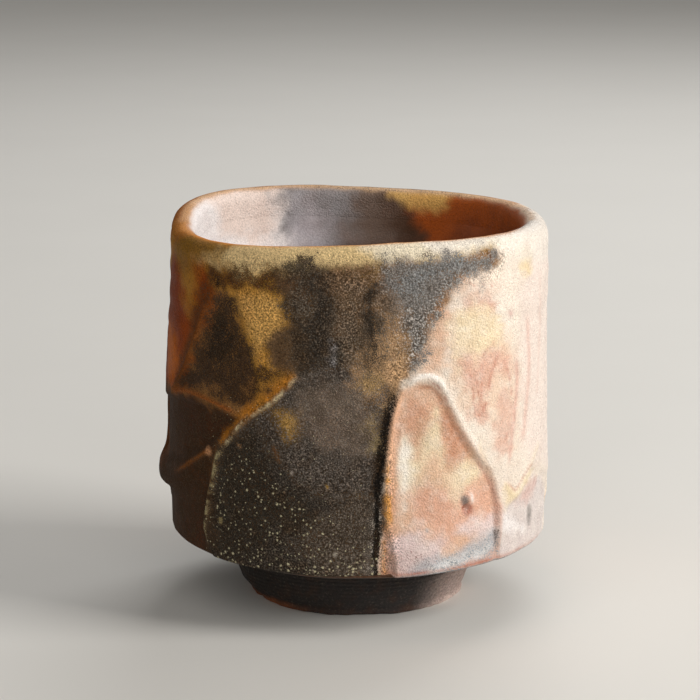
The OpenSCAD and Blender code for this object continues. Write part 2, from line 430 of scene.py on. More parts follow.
@dataclass(frozen=True)
class ThrownForm:
    """The thrown cup's sizes, with its heights taken from the CAD frame."""

    crest: float
    foot_top: float
    foot_top_r: float
    box: tuple[tuple[float, ...], tuple[float, ...]]
    foot_r: float = 23.2
    lip_w: float = 79.8
    hip_w: float = 81.6
    depth_share: float = 0.985  # the cup is a little less deep than wide
    belly: float = 0.2
    lip_power: float = 2.6  # 2 is a round plan, more is squarer
    hip_power: float = 2.1
    hip: float = 14.8
    hip_wave: float = 0.85
    hip_tilt: float = 0.5
    hip_turn: float = 75.0
    lip_wave: float = 0.8
    lip_turn: float = 40.0
    lip_wall: float = 4.8
    foot_wall: float = 8.0
    floor: float = 15.5
    floor_round: float = 13.0
    seam_r: float = 26.4
    coat: float = 0.45
    liner: float = 0.5
    stray_width: float = 38.0  # degrees
    stray_left: float = 1.0
    stray_right: float = 0.3

    @classmethod
    def from_frame(cls) -> "ThrownForm":
        """Read the heights and the foot's top from the CAD nodes."""
        foot_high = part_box("foot_ring")[1]
        return cls(
            crest=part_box("cup_wall")[1].z / MM - cls.lip_wave,
            foot_top=foot_high.z / MM,
            foot_top_r=foot_high.x / MM,
            box=tuple(tuple(value / MM for value in corner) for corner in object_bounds()),
        )

    @property
    def bowl_start(self) -> float:
        """Height where the floor's round ends and the wall's inside starts."""
        return self.floor + self.floor_round

    def plan(self, angle: Array, height: Array) -> Array:
        """Radius share of the plan, squarer towards the lip."""
        turn = np.radians(angle)
        share = np.clip((height - self.hip) / (self.crest - 2 * self.lip_wall - self.hip), 0, 1)
        power = self.hip_power + (self.lip_power - self.hip_power) * share
        return (np.abs(np.sin(turn)) ** power + np.abs(np.cos(turn)) ** power) ** (-1 / power)

    def crest_height(self, angle: Array) -> Array:
        """Height of the lip's crest at each angle."""
        return self.crest + self.lip_wave * np.cos(np.radians(2 * (angle - self.lip_turn)))

    def hip_height(self, angle: Array) -> Array:
        """Height of the hip edge at each angle."""
        swing = self.hip_tilt * np.cos(np.radians(angle + self.hip_turn))
        return self.hip + self.hip_wave * (swing - np.cos(np.radians(2 * angle)))

    def half_width(self, share: Array | float) -> Array | float:
        """Half-width of the outside at a share of the way from hip to lip."""
        swell = self.belly * 27 / 4 * share * (1 - share) ** 2  # the belly at its fullest
        return (self.lip_w * share + self.hip_w * (1 - share)) / 2 + swell

    def wall(self, share: Array | float) -> Array | float:
        """Thickness of the wall at a share of the way from floor to lip."""
        return self.lip_wall * share + self.foot_wall * (1 - share)

    def inner_half(self, height: Array, top: Array) -> Array:
        """Half-width of the wall's inside at a height.

        Args:
            height: height above the table.
            top: height where the lip's round starts.

        Returns:
            The half-width before the plan's share.
        """
        share = (height - self.bowl_start) / (top - self.bowl_start)
        return self.half_width(share) - self.wall(share)

    def stray(self, angle: Array, height: Array) -> Array:
        """How far the hand-thrown wall strays from its even form.

        Args:
            angle: degrees round the cup.
            height: height above the table.

        Returns:
            Millimetres outwards.
        """
        turn = signed(angle)
        left = bell(turn + 95, self.stray_width) * ease(46, 74, height)
        right = bell(turn - 92, self.stray_width) * ease(24, 40, height) * ease(74, 52, height)
        return -self.stray_left * left - self.stray_right * right

    def hold(self, grid: Array, soft: float = 0.12, margin: float = 0.01) -> Array:
        """Press what would stand out of the CAD model's box gently back into it.

        Args:
            grid: places in millimetres.
            soft: how gently.
            margin: how far inside the box the places stay.

        Returns:
            The places, none outside the box.
        """
        low, high = np.array(self.box[0]) + margin, np.array(self.box[1]) - margin
        grid = high - soft * np.logaddexp(0, (high - grid) / soft)
        low[2] = -1e3  # nothing is pressed up from the table
        return low + soft * np.logaddexp(0, (grid - low) / soft)

    def spot(self, angle: Array, half: Array, height: Array, out: Array | float = 0.0) -> Array:
        """Points at an angle, a half-width and a height.

        Args:
            angle: degrees round the cup.
            half: half-width before the plan's share.
            height: height above the table.
            out: how far the point is drawn outwards.

        Returns:
            One point in millimetres for each entry.
        """
        radius = half * self.plan(angle, height) + out
        return round_the_axis(angle, radius, height, self.depth_share)


def round_the_axis(angle: Array, radius: Array, height: Array, depth_share: float = 1.0) -> Array:
    """Points round the cup's axis.

    Args:
        angle: degrees round the cup.
        radius: distance from the axis.
        height: height above the table.
        depth_share: depth of the plan for each millimetre of its width.

    Returns:
        One point in millimetres for each entry.
    """
    turn = np.radians(angle)
    return np.stack([radius * np.sin(turn), -radius * depth_share * np.cos(turn), height], axis=-1)


@dataclass
class Rings:
    """The rings of a turned piece, gathered in order along its profile."""

    columns: int
    halves: list[Array] = field(default_factory=list)
    heights: list[Array] = field(default_factory=list)

    @property
    def angle(self) -> Array:
        """Angles of the columns in degrees."""
        return np.arange(self.columns) * 360.0 / self.columns

    def add(self, half: Array | float, height: Array | float) -> None:
        """Keep one ring, given as one value or as one for each column.

        Args:
            half: its half-width or radius.
            height: its height above the table.
        """
        self.halves.append(np.broadcast_to(half, self.columns))
        self.heights.append(np.broadcast_to(height, self.columns))

    def grids(self) -> tuple[Array, Array, Array]:
        """Angles, half-widths and heights by ring and column."""
        angle = np.tile(self.angle, (len(self.halves), 1))
        return angle, np.array(self.halves, float), np.array(self.heights, float)


def arc_angles(start: float, end: float, count: int, **options: bool) -> Array:
    """Angles in radians that step evenly along a rounded corner.

    Args:
        start: first angle in degrees.
        end: last angle in degrees.
        count: how many.
        **options: what np.linspace takes, such as endpoint.

    Returns:
        The angles.
    """
    return np.radians(np.linspace(start, end, count, **options))


def deselect() -> None:
    """Leave edit mode and select nothing, because loading leaves nodes selected."""
    if bpy.context.object and bpy.context.object.mode != "OBJECT":
        bpy.ops.object.mode_set(mode="OBJECT")
    bpy.ops.object.select_all(action="DESELECT")


def pick_edges(blank: bpy.types.Object, wanted: Callable[[bmesh.types.BMEdge], bool]) -> None:
    """Select only some edges of the piece that is in edit mode.

    Args:
        blank: the piece.
        wanted: says whether an edge is one of them.
    """
    bpy.ops.mesh.select_all(action="DESELECT")
    shape = bmesh.from_edit_mesh(blank.data)
    for edge in shape.edges:
        edge.select = wanted(edge)
    bmesh.update_edit_mesh(blank.data)


def is_upright(edge: bmesh.types.BMEdge) -> bool:
    """Whether an edge of a blank runs from one ring to another."""
    low, high = edge.verts
    return abs(low.co.z - high.co.z) > 0.5


def is_open(edge: bmesh.types.BMEdge) -> bool:
    """Whether an edge has a face on one side only."""
    return len(edge.link_faces) == 1


def turned_blank(name: str, columns: int, rings: int, closed: bool) -> bpy.types.Object:
    """Throw a blank: a tube whose upright edges are cut into rings.

    Args:
        name: the piece's name.
        columns: vertices round each ring.
        rings: rings from one end to the other.
        closed: True joins the two ends to each other, False closes each on the axis.

    Returns:
        The blank, with ring numbers as its heights.
    """
    deselect()
    bpy.ops.mesh.primitive_cylinder_add(
        vertices=columns,
        radius=1.0,
        depth=rings - 1,
        end_fill_type="NOTHING" if closed else "TRIFAN",
        location=(0, 0, (rings - 1) / 2),
    )
    blank = bpy.context.object
    blank.name = blank.data.name = name
    bpy.ops.object.transform_apply(location=True, rotation=True, scale=True)
    bpy.ops.object.mode_set(mode="EDIT")
    bpy.ops.mesh.select_mode(type="EDGE")
    # Subdivide makes at most 100 cuts at a time, so the rings are cut in two goes
    first = max(k for k in range(1, 13) if (rings - 1) % k == 0)
    for parts in (first, (rings - 1) // first):
        pick_edges(blank, is_upright)
        bpy.ops.mesh.subdivide(number_cuts=parts - 1)
    if closed:
        pick_edges(blank, is_open)
        bpy.ops.mesh.bridge_edge_loops()
    bpy.ops.object.mode_set(mode="OBJECT")
    return blank


def shape_blank(
    blank: bpy.types.Object, columns: int, grid: Array, poles: Array | None = None
) -> tuple[Array, Array]:
    """Move every vertex of a blank to its place, as a potter pulls the clay.

    Args:
        blank: what turned_blank made.
        columns: its vertices round each ring.
        grid: places in millimetres by ring and column.
        poles: the two places on the axis, where the blank has poles.

    Returns:
        The ring and the column of each vertex, -1 for a pole's column.
    """
    raw = np.empty(len(blank.data.vertices) * 3)
    blank.data.vertices.foreach_get("co", raw)
    raw = raw.reshape(-1, 3)
    ring = np.rint(raw[:, 2]).astype(int)
    turn = np.degrees(np.arctan2(raw[:, 0], -raw[:, 1])) % 360.0
    column = np.rint(turn / (360.0 / columns)).astype(int) % columns
    placed = grid[ring, column]
    if poles is not None:
        on_axis = np.hypot(raw[:, 0], raw[:, 1]) < 0.5
        placed[on_axis] = poles[(ring[on_axis] > 0).astype(int)]
        column[on_axis] = -1
    blank.data.vertices.foreach_set("co", (placed * MM).ravel())
    blank.data.update()
    deselect()
    bpy.context.view_layer.objects.active = blank
    blank.select_set(True)
    bpy.ops.object.mode_set(mode="EDIT")
    bpy.ops.mesh.select_all(action="SELECT")
    bpy.ops.mesh.normals_make_consistent(inside=False)
    bpy.ops.object.mode_set(mode="OBJECT")
    bpy.ops.object.shade_smooth()
    return ring, column


def paint(piece: bpy.types.Object, name: str, values: Array) -> None:
    """Store a value or a colour on each vertex.

    Args:
        piece: the piece that carries it.
        name: the attribute's name.
        values: one number, or four, for each vertex.
    """
    kind, key = ("FLOAT_COLOR", "color") if values.ndim == 2 else ("FLOAT", "value")
    attribute = piece.data.attributes.new(name, kind, "POINT")
    attribute.data.foreach_set(key, values.astype(np.float32).ravel())


def toned(share: Array, first: str | Array, second: str) -> Array:
    """One colour for each vertex, between what is there and a tone.

    Args:
        share: how much of the second tone.
        first: hex colour, or the colours that are there by row.
        second: hex colour.

    Returns:
        Red, green, blue and one, by row.
    """
    low = np.array([*linear(first), 1.0]) if isinstance(first, str) else first
    return low + (np.array([*linear(second), 1.0]) - low) * share[:, None]


# The strokes of the knife: the front as photographed, the back in the same hand
CENTRE_OUTLINE = (
    (7.3, 8), (7.3, 29), (7.8, 36), (8.9, 43), (10.4, 48.5), (11.2, 51.5), (7, 55), (-2, 57.5),
    (-12, 57), (-17.6, 54.6), (-23.4, 49.8), (-29.8, 46.3), (-35, 43), (-38, 41), (-41, 38.6),
    (-42, 36), (-43.5, 32.5), (-45.4, 28.8), (-46.6, 25.4), (-47.4, 21), (-48.6, 8),
)
ARCH_OUTLINE = (
    (8.6, 8), (8.5, 28), (9, 38), (10.2, 46), (12, 51), (15.5, 53.6), (19.5, 54.2), (23, 52.9),
    (25.5, 49.9), (28, 46), (31.5, 41.8), (35.5, 38), (40, 34.2), (42.6, 30), (43.8, 25),
    (44.6, 20), (45, 8),
)
TRIANGLE_OUTLINE = (
    (-38.5, 71), (-33.4, 68.5), (-30, 60), (-27.8, 54.5), (-31, 49.4), (-42, 49), (-52, 49.4),
    (-59, 50), (-54, 56), (-47.5, 64),
)
BAND_OUTLINE = (
    (-33.5, 45.3), (-42.1, 46.7), (-51.5, 47.7), (-64, 46.9), (-79, 44.8), (-92, 43), (-92, 31),
    (-78.2, 30.6), (-63.6, 32.8), (-52.5, 36.1), (-44.7, 39.1),
)
PANEL_OUTLINE = (
    (-44.6, 35.5), (-53, 32.2), (-64.3, 28.1), (-78.7, 25.4), (-96, 24), (-100, 8), (-49.6, 8),
    (-48.6, 21), (-46.8, 28.8),
)
RIGHT_OUTLINE = (
    (47.4, 8), (46.8, 22.1), (48.4, 26.2), (53.5, 27.4), (59.5, 32), (73.3, 28.8), (88.4, 24.9),
    (96, 8),
)

KNIFE_CUTS = (
    KnifeCut("centre arch", CENTRE_OUTLINE, 0.5, 2.45, 0.0, 0.7, 1.8),
    KnifeCut("right arch", ARCH_OUTLINE, 0.2, 0.95, 1.85, 1.15),
    KnifeCut("left triangle", TRIANGLE_OUTLINE, 0.5, 0.9, 0.5, 1.4),
    KnifeCut("left band", BAND_OUTLINE, 0.9, 0.7, 1.0, 1.2),
    KnifeCut("left panel", PANEL_OUTLINE, 1.4, 1.2, 0.9, 1.2),
    KnifeCut("right panel", RIGHT_OUTLINE, 0.7, 0.9, 0.5, 1.2),
    KnifeCut("back right arch", ((94, 8), (93, 24), (98, 38), (108, 49), (119, 53.5), (130, 50),
             (138, 38), (141, 24), (142, 8)), 0.6, 1.7, 0.5, 0.9, 1.4),
    KnifeCut("back arch", ((143, 8), (143, 26), (148, 44), (158, 55), (170, 58), (181, 53),
             (185, 38), (186, 8)), 0.5, 1.9, 0.4, 0.8, 1.4),
    KnifeCut("back left arch", ((188, 8), (188, 28), (193, 43), (204, 50.5), (216, 48), (227, 38),
             (233, 25), (235, 8)), 1.6, 0.6, 0.5, 0.9),
    KnifeCut("left arch", ((238, 8), (239, 28), (242, 40), (246, 43), (252, 36), (257, 24),
             (258, 8)), 1.1, 0.7, 0.6, 1.0),
)

RIDGES = (
    # Clay left standing
    Ridge("centre ridge", ((-16.5, 55.6), (-19, 54), (-21.5, 51.8), (-25, 49.5), (-30, 47),
          (-33.5, 44.9), (-37.4, 41.4), (-40, 39)), 0.55, 0.6, "e8dcb4", 0.8, 0.14, True),
    Ridge("centre ridge foot", ((-37.6, 41.2), (-41.6, 37.4), (-43.4, 33.4), (-44.8, 30.4),
          (-46.2, 27.6), (-47.6, 24), (-49, 20), (-49.8, 16)), 0.6, 0.8, "b8ae84", 0.85, 0.12,
          True),
    # The brow's near-white tint is partly painted highlight on its crest, over the ridge's thin
    # pale glaze
    Ridge("arch brow", ((14.2, 53.8), (16, 55), (18.8, 55.5), (21.6, 55.1), (23.8, 53.8),
          (25.4, 51.8)), 0.5, 0.9, "fdf3e8", 0.9, 0.2),
    Ridge("arch ridge", ((22.6, 54.8), (25.4, 52.2), (27.4, 48.8), (29.8, 45.4), (32.6, 41.8),
          (35.4, 38.2), (38, 35), (40.8, 31.6)), 0.22, 0.9, "f7eadc", 0.7, 0.3),
    # Fine lines with no height
    Ridge("brow red line", ((19.6, 54.6), (22.4, 53.6), (24.6, 51.4), (26.4, 48.2), (27.4, 46.4)),
          0, 0.34, "a85f48", 0.8, 0.2, True),
    # A painted highlight along the brow's crest, with no height
    Ridge("brow crest highlight", ((15.4, 55.2), (18.6, 55.9), (21.8, 55.5), (24.2, 54), (26.6, 50.6)), 0,
          0.45, "fffaf2", 0.9, 0.2, True),
    Ridge("field crack one", ((35.6, 58), (37.6, 60.4), (39.8, 61.2), (41.4, 59.8), (42.8, 60.2)),
          0, 0.26, "a35e4d", 0.7, 0.1, True),
    Ridge("field crack two", ((33.4, 55.4), (34.6, 52.6), (35.4, 49.4), (36.8, 47.4)), 0, 0.26,
          "a9654f", 0.65, 0.1, True),
    Ridge("fringe crack", ((31.4, 74.4), (34.2, 73.2), (36.6, 73.8), (39, 73)), 0, 0.26, "a9654f",
          0.6, 0.1, True),
    Ridge("salt line one", ((28, 66), (31, 64.6), (34, 65.6), (36, 64.6)), 0, 0.8, "f7ead0", 0.55,
          0.2, True),
    # Clay left standing
    Ridge("arch ridge foot", ((37.6, 35.4), (41, 31.4), (43, 28), (44.2, 24), (44.8, 20),
          (45.2, 14)), 0.1, 0.7, "d8ad99", 0.5, 0.2),
    Ridge("step crest", ((13.2, 53.4), (11.5, 50.6), (9.9, 45.6), (8.9, 40), (8.4, 34)), 0.3, 0.7,
          "dbab88", 0.6, 0.1),
    Ridge("step foot", ((8.9, 38.6), (8.3, 34), (8, 28), (8, 22), (8.2, 12)), 0.3, 0.7, "c58a45",
          0.7, 0.1, True),
    Ridge("left slope", ((-42.6, 70.6), (-46.4, 67), (-50, 62), (-53.6, 57.2), (-58, 52.8),
          (-63, 49.4), (-71.7, 44.7)), 0.45, 0.9, "7c4a20", 0.4),
    Ridge("level ridge", ((-66, 47.2), (-60, 48.6), (-54, 49.2), (-47, 49), (-40, 48),
          (-34.4, 46.8)), 0.4, 0.85, "8d4c1c", 0.85),
    Ridge("low ridge", ((-42.6, 38.8), (-46, 37.6), (-50, 35.8), (-54, 34.2), (-60, 31.8),
          (-68, 29.6)), 0.5, 0.8, "8d5528", 0.85, 0.3),
    Ridge("facet edge", ((-36.1, 68), (-31.7, 63), (-28.8, 56.9), (-26.7, 51.9)), 0.2, 1.2,
          "a87a34", 0.2),
    Ridge("right ridge", ((46, 30.4), (49.6, 27.8), (53, 28.8), (57, 31.4), (61, 35), (65, 37)),
          0.35, 1.3, "eddcbc", 0.4),
    Ridge("back ridge one", ((92, 12), (92, 24), (97, 38.5), (107, 50), (119, 54.6), (131, 51),
          (140, 38), (142.5, 14)), 0.55, 0.95, "efdcc6", 0.7),
    Ridge("back ridge two", ((142, 45), (148, 52), (158, 58), (170, 59.4), (182, 54.6), (187, 44),
          (188, 30), (188.6, 12)), 0.55, 0.9, "d9c9a4", 0.85, 0.1, True),
    Ridge("back ridge three", ((190, 40), (194, 46.6), (204, 51.7), (217, 49), (228.5, 38.5),
          (235, 25), (236.5, 12)), 0.55, 0.95, "b87434", 0.75),
    # Strokes, cracks and painted shade with no height
    # Painted shade in the hollow under the brow
    Ridge("brow hollow shade", ((16.6, 52.8), (20, 53.2), (22.8, 52), (25, 48.8)), 0, 0.7, "bb7d5a", 0.7,
          0.25),
    # Painted shade along the arch ridge's inner side, where the ridge shades the cut
    Ridge("ridge hollow shade", ((22.6, 52), (25, 48.6), (27.6, 44.8), (30.6, 41), (33.6, 37.8),
          (37, 34.4)), 0, 1.7, "cb8c68", 0.8, 0.3),
    # Painted shade along the inner foot of the arch ridge
    Ridge("arch foot shade line", ((34.6, 38.4), (38, 34.2), (40.8, 31), (42.4, 28), (43.4, 24),
          (43.8, 20)), 0, 0.55, "c9917a", 0.6, 0.16),
    Ridge("salmon loop one", ((31, 57), (32.4, 54.6), (33.4, 50.6), (34, 47.4), (36, 46.6),
          (38, 50), (38.8, 54), (40.8, 57.8), (42, 58.6)), 0, 0.5, "b8725c", 0.65, 0.1, True),
    Ridge("salmon loop two", ((39.6, 60), (42.6, 58), (44.4, 56.4), (46.4, 52), (47.4, 47),
          (46, 42), (44.2, 38)), 0, 0.6, "c28471", 0.65, 0.2, True),
    Ridge("salmon crack", ((37, 59.6), (39, 61.4), (41.4, 61), (43, 59.6)), 0, 0.3, "b06a58", 0.6,
          0.2, True),
    Ridge("salmon stroke", ((35.8, 57.8), (36, 53), (35.8, 49)), 0, 0.5, "c98d77", 0.6),
    Ridge("far stroke one", ((48.6, 58), (49.4, 50), (48.4, 42), (46.8, 34)), 0, 1, "d4a392", 0.7),
    Ridge("far stroke two", ((54, 66), (55.4, 56), (55, 46), (53, 38)), 0, 1.3, "d9b1a2", 0.7),
    Ridge("far stroke three", ((62, 74), (63.4, 60), (62, 46)), 0, 1.6, "e0c2b4", 0.55),
    Ridge("right fold line", ((46, 31.2), (48, 29.8), (50, 28.8), (52.6, 30), (55.4, 31.6),
          (58.6, 32.8), (61.4, 32.2)), 0, 0.5, "bd8a72", 0.7, 0.2),
    Ridge("lip crack", ((37.4, 80.6), (37.9, 79.4), (38.6, 77.8)), 0, 0.34, "5a3a2b", 0.95, 0.1),
    Ridge("brown streak", ((-24.6, 41.4), (-23.4, 39.4), (-22, 36.6)), 0, 0.8, "6e4424", 0.6, 0.3),
)

